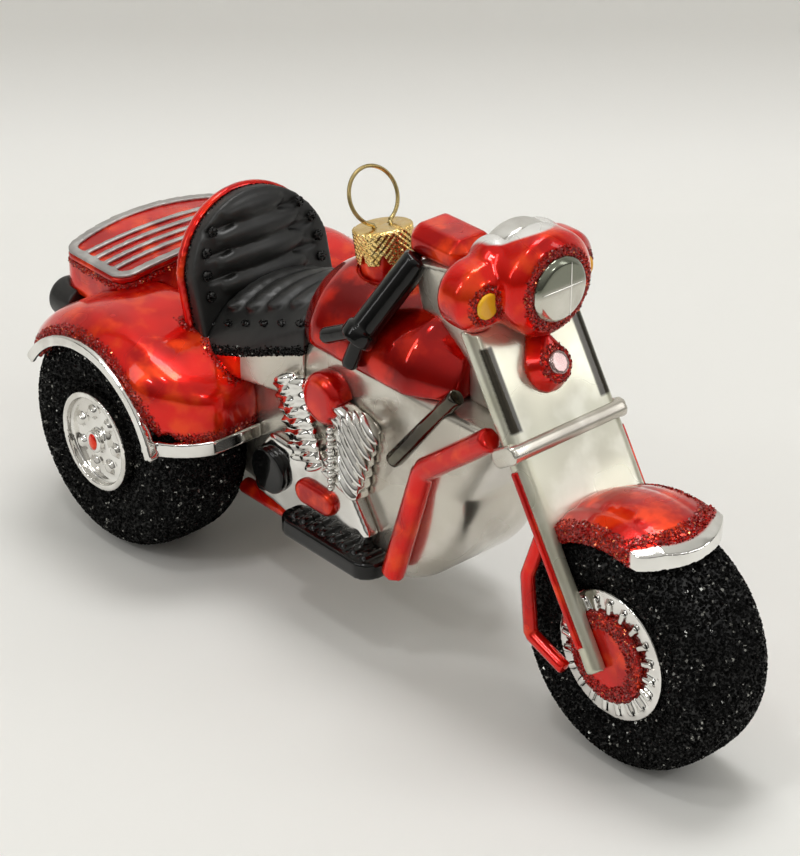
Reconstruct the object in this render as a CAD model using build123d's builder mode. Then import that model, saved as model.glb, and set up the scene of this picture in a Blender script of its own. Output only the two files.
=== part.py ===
"""A blown-glass tree ornament shaped as a motor trike, with a metal cap and a wire loop in its neck."""
from build123d import *
from math import asin, cos, degrees, pi, radians, sin
import os

os.makedirs("parts", exist_ok=True)

# Wheels and stance: stations run forward from the rear axle, heights up from the floor, y to the left
wheelbase = 117.8
rear_track = 41.8
rear_tyre_radius = 24.0
rear_tyre_width = 22.2
rear_rim_radius = 10.3
front_tyre_radius = 23.2
front_tyre_width = 19.4
front_rim_radius = 12.3
tyre_wall_share = 0.72
tyre_tread_share = 0.72
tail_reach = 29.5
fit_gap = 0.05
seat_in = 1.0

# Wheel discs
rim_lip = 1.3
rim_lip_proud = 0.5
wheel_dish = 1.0
hub_radius = 2.3
hub_proud = 0.6
lug_count = 7
lug_radius = 1.5
lug_circle = 5.8
lug_sides = 6
lug_taper = 20.0
flute_count = 20
flute_width = 1.1
brake_disc_radius = 8.4
brake_disc_thickness = 1.3

# Fork: its front face runs from the top down to the front axle
fork_top_station = 85.5
fork_top_height = 75.0
fork_half_width = 10.4
fork_thickness = 4.6
fork_leg_radius = 1.9
fork_leg_y = 10.9
fork_panel_end = 0.64
clamp_share = 0.37
clamp_height = 3.4
clamp_proud = 0.8
clamp_bevel = 0.85
groove_width = 3.0
groove_depth = 0.8
groove_y = 6.4
stripe_width = 1.8
stripe_proud = 0.5
stripe_start = 0.42
stripe_end = 0.95
stay_radius = 1.2
stay_start = 0.6
stay_out = 1.3
stay_route = ((-17.0, 9.8), (-15.8, -1.7), (-7.3, -4.7))

# Lamps, measured from the fork's top
lamp_rise = 6.8
lamp_reach = 8.5
lamp_depth = 15.0
lamp_radius = 9.7
lamp_bevel = 2.0
dome_radius = 9.0
dome_bevel = 3.2
lens_radius = 5.9
lens_proud = 1.2
lens_bevel = 0.9
lobe_radius = 6.4
lobe_y = 9.8
lobe_drop = 1.7
lobe_reach = 2.8
lobe_depth = 9.5
lobe_bevel = 2.4
bridge_height = 9.0
signal_radius = 2.2
signal_out = 1.4
signal_proud = 0.5
drop_fall = 10.8
drop_radius = 4.6
drop_tail = 6.4
drop_tail_radius = 1.4
drop_proud = 3.6
drop_taper = 25.0
drop_lens_radius = 2.0
drop_lens_proud = 0.6

# Front fender: angles from straight up, positive forward; its nose is rounded in plan
front_fender_rise = 2.5
front_fender_fall = 1.4
front_fender_half_width = 10.4
front_fender_skirt = 3.0
front_fender_flat = 6.5
front_fender_back = -34.0
front_fender_nose = 8.4
front_fender_corner = 3.2
front_lip_width = 3.2
front_lip_proud = 0.5

# Glass body: the belly in front, the spine between the rear tyres
belly_half_width = 12.5
belly_low = 13.0
belly_rear = 22.0
belly_chin = 56.0
belly_chest = (82.0, 38.0)
belly_round = 5.0
tank_drop = 18.8
seat_drop = 2.5
spine_rear = -23.0
spine_low = 16.0
spine_kick = 6.0

# Rear fenders: an arch over each tyre that runs forward into a quarter panel
fender_clearance = 2.0
fender_edge_in = 3.8
fender_overhang = 1.5
fender_bevel = 4.4
fender_rear_angle = 146.0
fender_top_angle = 82.0
quarter_front = 26.6
quarter_drop = 7.5
quarter_rise = 7.0
quarter_turn = 13.0
quarter_bulge = (22.8, 28.8)
quarter_nose_y = 14.5
lip_proud = 1.1
lip_height = 2.1
lip_ridge = 0.3
lip_overrun = 6.0
lip_run_width = 3.0
lip_run_drop = 1.5

# Trunk and tail
trunk_rear = -25.0
trunk_front = -5.5
trunk_half_width = 19.8
trunk_bow = 3.0
trunk_corner = 4.0
trunk_sink = 4.0
trunk_rise = 2.2
lid_thickness = 1.2
lid_crown = 2.4
lid_border = 2.0
rib_count = 4
rib_width = 1.2
rib_proud = 0.7
pod_radius = 4.3
pod_nose = 2.4
pod_length = 9.0
pod_y = 18.4
pod_drop = 6.8

# Seat: the cushion's crest runs from its rear, over the body, up to its front, over the tank's seat
cushion_rear = 10.5
cushion_rise = 8.1
cushion_front = 41.5
cushion_climb = 7.0
cushion_crown = 19.5
cushion_half_width = 17.0
cushion_nose_half_width = 13.0
cushion_waist = 26.0
cushion_sink = 2.5
crease_station = 14.5
crease_rise = 8.0
back_lean = 13.5
back_height = 18.6
back_half_width = 16.4
back_shoulder = 5.2
back_foot = 8.0
back_thickness = 3.4
back_pleats = (4.0, 8.6, 13.2)
pleat_width = 1.2
pleat_depth = 0.7
shell_rim = 0.7
shell_thickness = 1.7

# Tank: a round barrel with tapered ends, of which the upper half shows
tank_rear = 39.5
tank_front = 78.5
tank_radius = 14.2
tank_rear_radius = 11.4
tank_rear_taper = 5.0
tank_front_radius = 9.0
tank_front_taper = 8.5

# Neck, cap and hanging loop, along an axis that leans back
neck_station = 52.0
neck_rise = 5.8
neck_lean = 12.5
neck_radius = 5.0
neck_wall = 1.0
neck_length = 15.6
neck_floor = 1.2
cap_gap = 0.12
cap_wall = 0.4
cap_height = 6.2
petal_count = 8
petal_depth = 2.2
petal_share = 0.9
wire_radius = 0.38
wire_sides = 8
wire_hole_gap = 0.2
wire_spread = 1.9
wire_foot_gap = 0.2
wire_foot_height = 5.0
loop_radius = 5.4
loop_lean = 14.0

# Steering head, console and handlebars, measured from the fork's top or round the tank
head_half_width = 6.0
head_foot = 15.5
head_back = 22.0
head_low = 2.5
head_peak = 9.5
head_crown = 5.0
console_setback = 18.3
console_rise = 5.6
console_size = (14.0, 10.0, 6.4)
console_bevel = 2.0
bar_radius = 2.5
bar_setback = 21.0
bar_inner_y = 5.5
bar_rise = 3.4
bar_station = 59.5
bar_angle = 34.0
knob_radius = 3.1
knob_length = 2.6
lever_radius = 1.4
lever_tips = ((-9.6, 17.0), (-2.2, 6.0))

# Engine: outlines as station and height
cylinder_reach = 16.0
fin_proud = 0.8
fin_thickness = 1.0
cover_reach = 15.5
cover_proud = 1.4
crankcase_outline = ((29, 20), (58, 15.5), (62, 24), (56, 33), (34, 34), (28.5, 27))
rear_cylinder_place = ((45.5, 32.5), (40.0, 48.5), 8.0, 7)
front_cylinder_place = ((54.5, 31.0), (58.5, 48.0), 9.0, 7)
air_cleaner_place = (50.0, 48.0)
air_cleaner_radius = 5.0
air_cleaner_reach = 17.0
air_cleaner_bevel = 1.2
clutch_cover_place = (34.5, 26.5)
clutch_cover_radius = 4.6
cam_cover_place = (48.0, 26.5)
cam_cover_size = (11.0, 5.0)
cover_taper = 15.0

# Footboards and frame tubes
footboard_rear = 40.0
footboard_front = 66.0
footboard_out = 19.6
footboard_low = 17.4
footboard_top = 20.6
footboard_round = 3.4
tread_count = 8
tread_width = 1.4
tread_proud = 0.8
crash_bar_radius = 2.1
crash_bar_setback = 5.8
crash_bar_knee = (75.0, 43.2)
crash_bar_foot = (68.5, 19.0)
crash_bar_stand = (0.3, 0.9, 2.5)
tube_radius = 1.6
downtube_route = ((81.5, -11.6, 60.0), (66.0, -12.8, 41.0))
rail_radius = 1.6
lower_rail_route = ((20.0, -13.2, 17.2), (42.0, -14.4, 18.2))

rear_top = 2 * rear_tyre_radius
front_fender_crown = front_tyre_radius + front_fender_rise
front_fender_shoulder = front_fender_crown - front_fender_fall
front_fender_reach = degrees(asin((front_fender_nose + front_lip_width + seat_in) / front_fender_shoulder))
tank_seat = fork_top_height - tank_drop
seat_seat = rear_top - seat_drop
quarter_shoulder = rear_top - quarter_drop
quarter_low = rear_tyre_radius + quarter_rise
trunk_low = rear_top - trunk_sink
trunk_top = rear_top + trunk_rise
pod_height = rear_top - pod_drop
cushion_rear_height = seat_seat + cushion_rise
cushion_front_height = tank_seat + cushion_climb
cushion_low = seat_seat - cushion_sink
crease_height = seat_seat + crease_rise
rear_axle_x = (tail_reach - wheelbase - front_tyre_radius) / 2
rear_tyre_y = rear_track / 2
tyre_face_y = rear_tyre_y + rear_tyre_width / 2
spine_half_width = rear_tyre_y - rear_tyre_width / 2 - fit_gap
fender_half_width = tyre_face_y + fender_overhang
fender_crown = rear_tyre_radius + fender_clearance
fender_edge = rear_tyre_radius - fender_edge_in
lamp_height = fork_top_height + lamp_rise
lamp_front = fork_top_station + lamp_reach
lamp_rear = lamp_front - lamp_depth
lobe_front = fork_top_station + lobe_reach
lobe_rear = lobe_front - lobe_depth
lobe_height = lamp_height - lobe_drop
fork_slope = (wheelbase - fork_top_station) / (fork_top_height - front_tyre_radius)
pieces = {}


def spot(station, y, height):
    """A place in the ornament's frame from its station, side distance and height."""
    return (rear_axle_x + station, y, height)


def fork_station(height):
    """The station of the fork's front face at a height."""
    return fork_top_station + (fork_top_height - height) * fork_slope


def side_points(outline):
    """Points of a side view, for a sketch on the XZ plane."""
    return [(rear_axle_x + station, height) for station, height in outline]


def finish(piece, name):
    """Label a piece, keep it for its neighbours and write it out."""
    piece.part.label = name
    pieces[name] = piece.part
    export_step(piece.part, f"parts/{name}.step")


def finish_pair(piece, name):
    """Write a right-hand piece and its mirror image on the left."""
    finish(piece, name + "_right")
    with BuildPart() as left:
        mirror(piece.part, about=Plane.XZ)
    finish(left, name + "_left")


def finish_both(piece, name):
    """Write a right-hand piece and its mirror image as the two solids of one node."""
    with BuildPart() as both:
        add(piece.part)
        mirror(piece.part, about=Plane.XZ)
    finish(both, name)


def trim(*names):
    """Cut the pieces that carry this one out of it, so that they meet face to face."""
    for name in names:
        add(pieces[name], mode=Mode.SUBTRACT)


def side_plane(station, reach, height):
    """A plane that faces right, at a distance from the centre plane."""
    return Plane(origin=spot(station, -reach, height), x_dir=(1, 0, 0), z_dir=(0, -1, 0))


def cross_plane(station, y, height):
    """A plane that faces forward, with its x axis to the left and its y axis up."""
    return Plane(origin=spot(station, y, height), x_dir=(0, 1, 0), z_dir=(1, 0, 0))


def rod(start, end, radius):
    """A round bar between two places given as station, side distance and height."""
    first = Vector(*spot(*start))
    run = Vector(*spot(*end)) - first
    with BuildSketch(Plane(origin=first, z_dir=run)) as section:
        Circle(radius)
    extrude(section.sketch, amount=run.length)


def bent_rod(route, radius):
    """A round bar bent through several places."""
    for start, end in zip(route[:-1], route[1:]):
        rod(start, end, radius)


def turned(station, height, first, last, section):
    """Turn a section of side distance and radius about an axle; angles run forward from straight up."""
    start = radians(first)
    middle = spot(station, 0, height)
    section_plane = Plane(origin=middle, x_dir=(0, 1, 0), z_dir=(cos(start), 0, -sin(start)))
    with BuildSketch(section_plane) as profile:
        with BuildLine():
            Polyline(*section, close=True)
        make_face()
    revolve(profile.sketch, axis=Axis(middle, (0, 1, 0)), revolution_arc=last - first)


def drum(y, height, rear, front, radius, bevel, both=False):
    """A round drum along the trike, with its front edge or both edges bevelled."""
    with BuildPart(mode=Mode.PRIVATE) as barrel:
        with BuildSketch(cross_plane(rear, y, height)):
            Circle(radius)
        extrude(amount=front - rear)
        chamfer(barrel.edges().group_by(Axis.X)[-1], bevel)
        if both:
            chamfer(barrel.edges().group_by(Axis.X)[0], bevel)
    return barrel.part


def side_slab(outline, half_width, mode=Mode.ADD):
    """A side view drawn in straight lines, extruded to both sides of the centre plane."""
    with BuildSketch(Plane.XZ) as profile:
        with BuildLine():
            Polyline(*side_points(outline), close=True)
        make_face()
    extrude(profile.sketch, amount=half_width, both=True, mode=mode)


def plan_cut(outline, low, high):
    """Keep only what lies inside an outline seen from above."""
    with BuildSketch(Plane.XY.offset(low)) as plan:
        with BuildLine():
            Polyline(*[(rear_axle_x + station, y) for station, y in outline], close=True)
        make_face()
    extrude(plan.sketch, amount=high - low, mode=Mode.INTERSECT)


def tyre(station, middle_y, radius, width, rim):
    """A balloon tyre turned about its axle: flat walls, bevelled shoulders and a flat tread."""
    shoulder = rim + tyre_wall_share * (radius - rim)
    half = [(width / 2, rim), (width / 2, shoulder), (tyre_tread_share * width / 2, radius)]
    section = half + [(-y, r) for y, r in reversed(half)]
    with BuildPart() as ring:
        with BuildSketch(Plane.YZ.offset(rear_axle_x + station)):
            with BuildLine():
                Polyline(*[(middle_y + y, radius + r) for y, r in section], close=True)
            make_face()
        revolve(axis=Axis(spot(station, 0, radius), (0, 1, 0)))
    return ring


# Tyres
finish_pair(tyre(0, -rear_tyre_y, rear_tyre_radius, rear_tyre_width, rear_rim_radius), "rear_tyre")
finish(tyre(wheelbase, 0, front_tyre_radius, front_tyre_width, front_rim_radius), "front_tyre")

# Rear wheels: a dished disc with a rolled rim, a hub and a ring of lugs
rear_wheel_face = side_plane(0, tyre_face_y, rear_tyre_radius)
with BuildPart() as rear_wheel:
    with BuildSketch(rear_wheel_face.offset(-rear_tyre_width)):
        Circle(rear_rim_radius - fit_gap)
    extrude(amount=rear_tyre_width + rim_lip_proud)
    with BuildSketch(rear_wheel_face.offset(-wheel_dish)):
        Circle(rear_rim_radius - rim_lip)
    extrude(amount=wheel_dish + rim_lip_proud, mode=Mode.SUBTRACT)
    with BuildSketch(rear_wheel_face.offset(-wheel_dish)):
        Circle(hub_radius)
    extrude(amount=wheel_dish + hub_proud)
    with BuildSketch(rear_wheel_face.offset(-wheel_dish)):
        with PolarLocations(lug_circle, lug_count):
            RegularPolygon(lug_radius, lug_sides)
    extrude(amount=wheel_dish, taper=lug_taper)
finish_pair(rear_wheel, "rear_wheel")

# Front wheel: a disc with radial flutes on both faces
front_wheel_middle = side_plane(wheelbase, 0, front_tyre_radius)
front_wheel_side = front_tyre_width / 2 - wheel_dish
flute_length = front_rim_radius - brake_disc_radius - rim_lip
with BuildPart() as front_wheel:
    with BuildSketch(front_wheel_middle):
        Circle(front_rim_radius - fit_gap)
    extrude(amount=front_wheel_side, both=True)
    for side in (-1, 1):
        with BuildSketch(front_wheel_middle.offset(side * front_wheel_side)):
            with PolarLocations(brake_disc_radius + flute_length / 2 + fit_gap, flute_count):
                Rectangle(flute_length, flute_width)
        extrude(amount=side * wheel_dish)
finish(front_wheel, "front_wheel")

# Brake discs on both faces of the front wheel
with BuildPart() as brake_discs:
    for side in (-1, 1):
        with BuildSketch(front_wheel_middle.offset(side * front_wheel_side)):
            Circle(brake_disc_radius)
        extrude(amount=side * brake_disc_thickness)
finish(brake_discs, "brake_discs")

# Lamp nacelle: the headlamp's drum, a turn signal's pod on each side and the bridge that joins them
drum_rear = (lamp_rear + lamp_front) / 2
with BuildPart() as lamp_nacelle:
    add(drum(0, lamp_height, drum_rear, lamp_front, lamp_radius, lamp_bevel))
    for side in (-1, 1):
        add(drum(side * lobe_y, lobe_height, lobe_rear, lobe_front, lobe_radius, lobe_bevel, both=True))
    with BuildSketch(cross_plane(lobe_rear + lobe_bevel, 0, lamp_height)):
        Rectangle(2 * lobe_y, bridge_height)
    extrude(amount=lobe_depth - 2 * lobe_bevel)
finish(lamp_nacelle, "lamp_nacelle")

# Headlamp dome behind the drum, the headlamp's lens and the turn signals' lenses
with BuildPart() as headlamp_dome:
    with BuildSketch(cross_plane(drum_rear, 0, lamp_height)):
        Circle(dome_radius)
    extrude(amount=lamp_rear - drum_rear)
    chamfer(headlamp_dome.edges().group_by(Axis.X)[0], dome_bevel)
    trim("lamp_nacelle")
finish(headlamp_dome, "headlamp_dome")
with BuildPart() as headlamp_lens:
    add(drum(0, lamp_height, lamp_front, lamp_front + lens_proud, lens_radius, lens_bevel))
finish(headlamp_lens, "headlamp_lens")
with BuildPart() as signal_lenses:
    for side in (-1, 1):
        with BuildSketch(cross_plane(lobe_front, side * (lobe_y + signal_out), lobe_height)):
            Circle(signal_radius)
        extrude(amount=signal_proud)
    trim("lamp_nacelle")
finish(signal_lenses, "signal_lenses")

# Fork: a wide panel with two slots over two legs that run down to the axle
fork_run = Vector(wheelbase - fork_top_station, 0, front_tyre_radius - fork_top_height)
fork_face = Plane(
    origin=spot(fork_top_station, 0, fork_top_height),
    x_dir=fork_run,
    z_dir=fork_run.cross(Vector(0, 1, 0)),
)
fork_length = fork_run.length
panel_length = fork_length * fork_panel_end
clamp_place = fork_length * clamp_share


def leg_point(share, side, out=0):
    """A place on a fork leg's axis, at a share of its length from the top, moved out sideways."""
    leg_y = side * (fork_leg_y + out)
    place = fork_face.from_local_coords((share * fork_length, leg_y, -fork_leg_radius))
    return (place.X - rear_axle_x, place.Y, place.Z)


with BuildPart() as fork:
    with BuildSketch(fork_face):
        with Locations((panel_length / 2, 0)):
            Rectangle(panel_length, 2 * fork_half_width)
    extrude(amount=-fork_thickness)
    with BuildSketch(fork_face):
        with Locations(*[(clamp_place / 2, side * groove_y) for side in (-1, 1)]):
            SlotOverall(clamp_place - 2 * clamp_height, groove_width)
    extrude(amount=-groove_depth, mode=Mode.SUBTRACT)
    for side in (-1, 1):
        rod(leg_point(0, side), leg_point(1 + fork_leg_radius / fork_length, side), fork_leg_radius)
    trim("front_tyre", "front_wheel", "brake_discs", "lamp_nacelle", "headlamp_dome")
finish(fork, "fork")

# Painted stripes down the outer sides of the legs
with BuildPart() as fork_stripe:
    stripe_out = fork_leg_radius + stripe_proud - stripe_width / 2
    rod(leg_point(stripe_start, -1, stripe_out), leg_point(stripe_end, -1, stripe_out), stripe_width / 2)
    trim("fork", "front_tyre", "front_wheel", "brake_discs")
finish_both(fork_stripe, "fork_stripes")

# Fork clamp: a bevelled band round the panel
with BuildPart() as fork_clamp:
    with BuildSketch(fork_face.offset(clamp_proud)):
        with Locations((clamp_place, 0)):
            Rectangle(clamp_height, 2 * (fork_leg_y + fork_leg_radius + clamp_proud))
    extrude(amount=-fork_thickness - 2 * clamp_proud)
    chamfer(fork_clamp.edges().filter_by(Axis.Y), clamp_bevel)
    trim("fork", "fork_stripes")
finish(fork_clamp, "fork_clamp")

# Lower lamp: a drop-shaped boss on the fork's face, with its lens
with BuildPart() as lower_lamp:
    with BuildSketch(fork_face):
        with Locations((drop_fall, 0)):
            Circle(drop_radius)
        with Locations((drop_fall - drop_tail, 0)):
            Circle(drop_tail_radius)
        make_hull()
    extrude(amount=drop_proud, taper=drop_taper)
    trim("lamp_nacelle", "headlamp_dome", "headlamp_lens", "fork_clamp")
finish(lower_lamp, "lower_lamp")
with BuildPart() as lower_lamp_lens:
    with BuildSketch(fork_face.offset(drop_proud)):
        with Locations((drop_fall, 0)):
            Circle(drop_lens_radius)
    extrude(amount=drop_lens_proud)
    trim("lamp_nacelle", "headlamp_lens")
finish(lower_lamp_lens, "lower_lamp_lens")


# Front fender: a facetted strip over the tyre with a rounded nose, and a plain lip round the nose
def nose_plan(grow, mode):
    """Cut the fender with its outline from above, grown forward by the lip's width."""
    corner = rear_axle_x + wheelbase + front_fender_corner + grow
    tip = rear_axle_x + wheelbase + front_fender_nose + grow
    back = corner - front_fender_crown
    half = front_fender_half_width + front_lip_proud
    with BuildSketch(Plane.XY.offset(front_tyre_radius)) as plan:
        with BuildLine():
            ThreePointArc((corner, -half), (tip, 0), (corner, half))
            Polyline((corner, half), (back, half), (back, -half), (corner, -half))
        make_face()
    extrude(plan.sketch, amount=front_fender_crown + seat_in, mode=mode)


def fender_strip(proud):
    """The front fender's section turned over the tyre, with its crown raised a little."""
    low = front_fender_shoulder - front_fender_skirt
    half, flat = front_fender_half_width, front_fender_flat
    shoulder, crown = front_fender_shoulder + proud, front_fender_crown + proud
    turned(wheelbase, front_tyre_radius, front_fender_back, front_fender_reach, [
        (-half, low), (-half, shoulder), (-flat, crown), (flat, crown), (half, shoulder), (half, low),
    ])


with BuildPart() as front_fender:
    fender_strip(0)
    nose_plan(0, Mode.INTERSECT)
    trim("front_tyre", "fork", "fork_stripes")
finish(front_fender, "front_fender")
with BuildPart() as front_fender_lip:
    fender_strip(front_lip_proud)
    nose_plan(front_lip_width, Mode.INTERSECT)
    nose_plan(0, Mode.SUBTRACT)
    trim("front_tyre", "front_fender")
finish(front_fender_lip, "front_fender_lip")

# Fork stays: thin loops behind the legs, from the panel's end to the axle
with BuildPart() as fork_stay:
    stay_y = -fork_leg_y - stay_out
    stay_bends = [(wheelbase + ahead, stay_y, front_tyre_radius + above) for ahead, above in stay_route]
    bent_rod([leg_point(stay_start, -1)] + stay_bends, stay_radius)
    trim("fork", "fork_stripes", "front_tyre", "brake_discs", "front_wheel", "front_fender")
finish_both(fork_stay, "fork_stays")

# Glass body: the belly and the spine between the rear tyres
belly_neck = fork_station(tank_seat) - fork_thickness
with BuildPart() as glass_body:
    with BuildSketch(Plane.XZ):
        with BuildLine():
            rear, chin, chest, neck, waist, saddle = side_points([
                (belly_rear, spine_low), (belly_chin, belly_low), belly_chest,
                (belly_neck, tank_seat), (tank_rear, tank_seat), (belly_rear, seat_seat),
            ])
            under = Line(rear, chin)
            TangentArc(chin, chest, tangent=under % 1)
            Polyline(chest, neck, waist, saddle, rear)
        make_face()
    extrude(amount=belly_half_width, both=True)
    side_edges = glass_body.faces().filter_by(Axis.Y).edges()
    fillet(side_edges.filter_by(lambda edge: edge.center().Z < tank_seat - belly_round), belly_round)
    side_slab([
        (spine_rear, spine_low + spine_kick), (belly_rear, spine_low),
        (belly_rear, seat_seat), (spine_rear, seat_seat),
    ], spine_half_width)
    trim("fork", "fork_clamp", "fork_stays")
finish(glass_body, "glass_body")


# Rear fenders: an arch drawn from the side with a bevelled outer edge, that runs into a quarter panel
def quarter_plan(start, grow):
    """The fender's outline from above, from a station forward, with a round nose that turns inboard."""
    outer, inner = -fender_half_width - grow, -spine_half_width
    back, front = rear_axle_x + start, rear_axle_x + quarter_front + grow
    bulge = (rear_axle_x + quarter_bulge[0] + grow, -quarter_bulge[1] - grow)
    with BuildSketch(Plane.XY) as plan:
        with BuildLine():
            turn, nose = (rear_axle_x + quarter_turn, outer), (front, -quarter_nose_y)
            ThreePointArc(turn, bulge, nose)
            Polyline(nose, (front, inner), (back, inner), (back, outer), turn)
        make_face()
    return plan.sketch


edge_turn = degrees(asin(quarter_rise / fender_edge))
with BuildPart() as rear_fender:
    with BuildSketch(side_plane(0, spine_half_width, rear_tyre_radius)):
        with BuildLine():
            arch_turn = fender_top_angle - fender_rear_angle
            arch = CenterArc((0, 0), fender_crown, fender_rear_angle, arch_turn)
            shoulder = (quarter_front, quarter_shoulder - rear_tyre_radius)
            TangentArc(arch @ 1, shoulder, tangent=arch % 1)
            edge = CenterArc((0, 0), fender_edge, edge_turn, fender_rear_angle - edge_turn)
            Polyline(shoulder, (quarter_front, quarter_rise), edge @ 0)
            Line(edge @ 1, arch @ 0)
        make_face()
    extrude(amount=fender_half_width - spine_half_width)
    axle_end = Vector(*spot(0, -fender_half_width, rear_tyre_radius))
    outer_edges = rear_fender.faces().sort_by(Axis.Y)[0].edges()
    rim_reach = fender_crown - fit_gap
    chamfer(outer_edges.filter_by(lambda line: (line.center() - axle_end).length > rim_reach), fender_bevel)
    extrude(quarter_plan(-fender_crown, 0), amount=2 * fender_crown, mode=Mode.INTERSECT)
    trim("rear_tyre_right", "rear_wheel_right", "glass_body")
finish_pair(rear_fender, "rear_fender")

# Fender lips: a two-ridge bead round the arch that runs inboard under the quarter panel
ridge = fender_half_width + lip_proud
lip_middle = fender_edge + lip_height / 2
lip_root = fender_half_width - seat_in
lip_front = (fender_edge**2 - quarter_rise**2) ** 0.5
lip_low, lip_high = quarter_low - lip_run_drop, quarter_low + lip_run_drop
run_back, run_front = lip_front - lip_run_width / 2, quarter_front + seat_in
with BuildPart() as fender_lip:
    lip_plan = quarter_plan(-fender_crown, lip_proud).moved(Location((0, 0, lip_low)))
    extrude(lip_plan, amount=lip_high - lip_low)
    side_slab(
        [(run_back, lip_low), (run_front, lip_low), (run_front, lip_high), (run_back, lip_high)],
        ridge + seat_in, Mode.INTERSECT,
    )
    turned(0, rear_tyre_radius, 90 - fender_rear_angle, 90 - edge_turn + lip_overrun, [
        (-lip_root, fender_edge), (-ridge, fender_edge), (-ridge, lip_middle - lip_ridge),
        (-ridge + lip_proud / 2, lip_middle), (-ridge, lip_middle + lip_ridge),
        (-ridge, fender_edge + lip_height), (-lip_root, fender_edge + lip_height),
    ])
    trim("rear_tyre_right", "rear_fender_right", "glass_body")
finish_both(fender_lip, "fender_lips")


def trunk_plan(inset=0):
    """The trunk's outline from above, with a bowed rear edge and round corners."""
    back, front = rear_axle_x + trunk_rear, rear_axle_x + trunk_front
    half = trunk_half_width
    with BuildSketch(Plane.XY.offset(trunk_low)) as plan:
        with BuildLine():
            ThreePointArc((back, half), (back - trunk_bow, 0), (back, -half))
            Polyline((back, -half), (front, -half), (front, half), (back, half))
        make_face()
        fillet(plan.vertices(), trunk_corner)
        if inset:
            offset(amount=-inset, mode=Mode.REPLACE)
    return plan.sketch


def crowned_slab(rise, mode):
    """A slab as long as the trunk whose top is crowned from side to side."""
    edge = trunk_half_width + trunk_corner
    start = trunk_rear - trunk_bow - trunk_corner
    low, shoulder = trunk_low - seat_in, trunk_top + rise
    with BuildSketch(Plane.YZ.offset(rear_axle_x + start)) as profile:
        with BuildLine():
            ThreePointArc((-edge, shoulder), (0, shoulder + lid_crown), (edge, shoulder))
            Polyline((edge, shoulder), (edge, low), (-edge, low), (-edge, shoulder))
        make_face()
    extrude(profile.sketch, amount=trunk_front - start + trunk_corner, mode=mode)


# Trunk box, its lid, and the raised border and ribs across the lid
trunk_block = trunk_top + 2 * lid_crown + lid_thickness + rib_proud - trunk_low
with BuildPart() as trunk_box:
    extrude(trunk_plan(), amount=trunk_block)
    crowned_slab(0, Mode.INTERSECT)
    trim("rear_tyre_right", "rear_tyre_left", "rear_fender_right", "rear_fender_left", "glass_body")
finish(trunk_box, "trunk_box")
with BuildPart() as trunk_lid:
    extrude(trunk_plan(), amount=trunk_block)
    crowned_slab(lid_thickness, Mode.INTERSECT)
    crowned_slab(0, Mode.SUBTRACT)
    trim("rear_fender_right", "rear_fender_left")
finish(trunk_lid, "trunk_lid")
rib_pitch = (trunk_front - trunk_rear - 2 * lid_border) / (rib_count + 1)
with BuildPart() as lid_ribs:
    extrude(trunk_plan(), amount=trunk_block)
    extrude(trunk_plan(lid_border), amount=trunk_block, mode=Mode.SUBTRACT)
    for rib in range(rib_count):
        with BuildSketch(Plane.XY.offset(trunk_low)):
            with Locations((rear_axle_x + trunk_rear + lid_border + (rib + 1) * rib_pitch, 0)):
                Rectangle(rib_width, 2 * (trunk_half_width - lid_border / 2))
        extrude(amount=trunk_block)
    crowned_slab(lid_thickness + rib_proud, Mode.INTERSECT)
    crowned_slab(lid_thickness, Mode.SUBTRACT)
    trim("rear_fender_right", "rear_fender_left")
finish(lid_ribs, "lid_ribs")

# Tail pods under the trunk's rear corners
with BuildPart() as tail_pod:
    with BuildSketch(cross_plane(pod_length - tail_reach, -pod_y, pod_height)):
        Circle(pod_radius)
    extrude(amount=-pod_length)
    chamfer(tail_pod.edges().group_by(Axis.X)[0], pod_nose)
    trim("trunk_box", "rear_fender_right", "rear_tyre_right", "glass_body")
finish_both(tail_pod, "tail_pods")

# Tank: half a barrel with tapered ends, bored for the neck
neck_axis = Plane(
    origin=spot(neck_station, 0, tank_seat + neck_rise),
    x_dir=(cos(radians(neck_lean)), 0, sin(radians(neck_lean))),
    z_dir=(-sin(radians(neck_lean)), 0, cos(radians(neck_lean))),
)
with BuildPart() as fuel_tank:
    with BuildSketch(Plane.XY.offset(tank_seat)):
        with BuildLine():
            Polyline(*side_points([
                (tank_rear, 0), (tank_rear, tank_rear_radius),
                (tank_rear + tank_rear_taper, tank_radius), (tank_front - tank_front_taper, tank_radius),
                (tank_front, tank_front_radius), (tank_front, 0),
            ]), close=True)
        make_face()
    revolve(axis=Axis((0, 0, tank_seat), (1, 0, 0)), revolution_arc=180)
    with BuildSketch(neck_axis):
        Circle(neck_radius)
    extrude(amount=2 * neck_length, mode=Mode.SUBTRACT)
finish(fuel_tank, "fuel_tank")

# Neck: the open tube that the glass was blown through
with BuildPart() as cap_neck:
    with BuildSketch(neck_axis):
        Circle(neck_radius)
    extrude(amount=neck_length)
    with BuildSketch(neck_axis.offset(neck_floor)):
        Circle(neck_radius - neck_wall)
    extrude(amount=neck_length, mode=Mode.SUBTRACT)
finish(cap_neck, "cap_neck")

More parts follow.
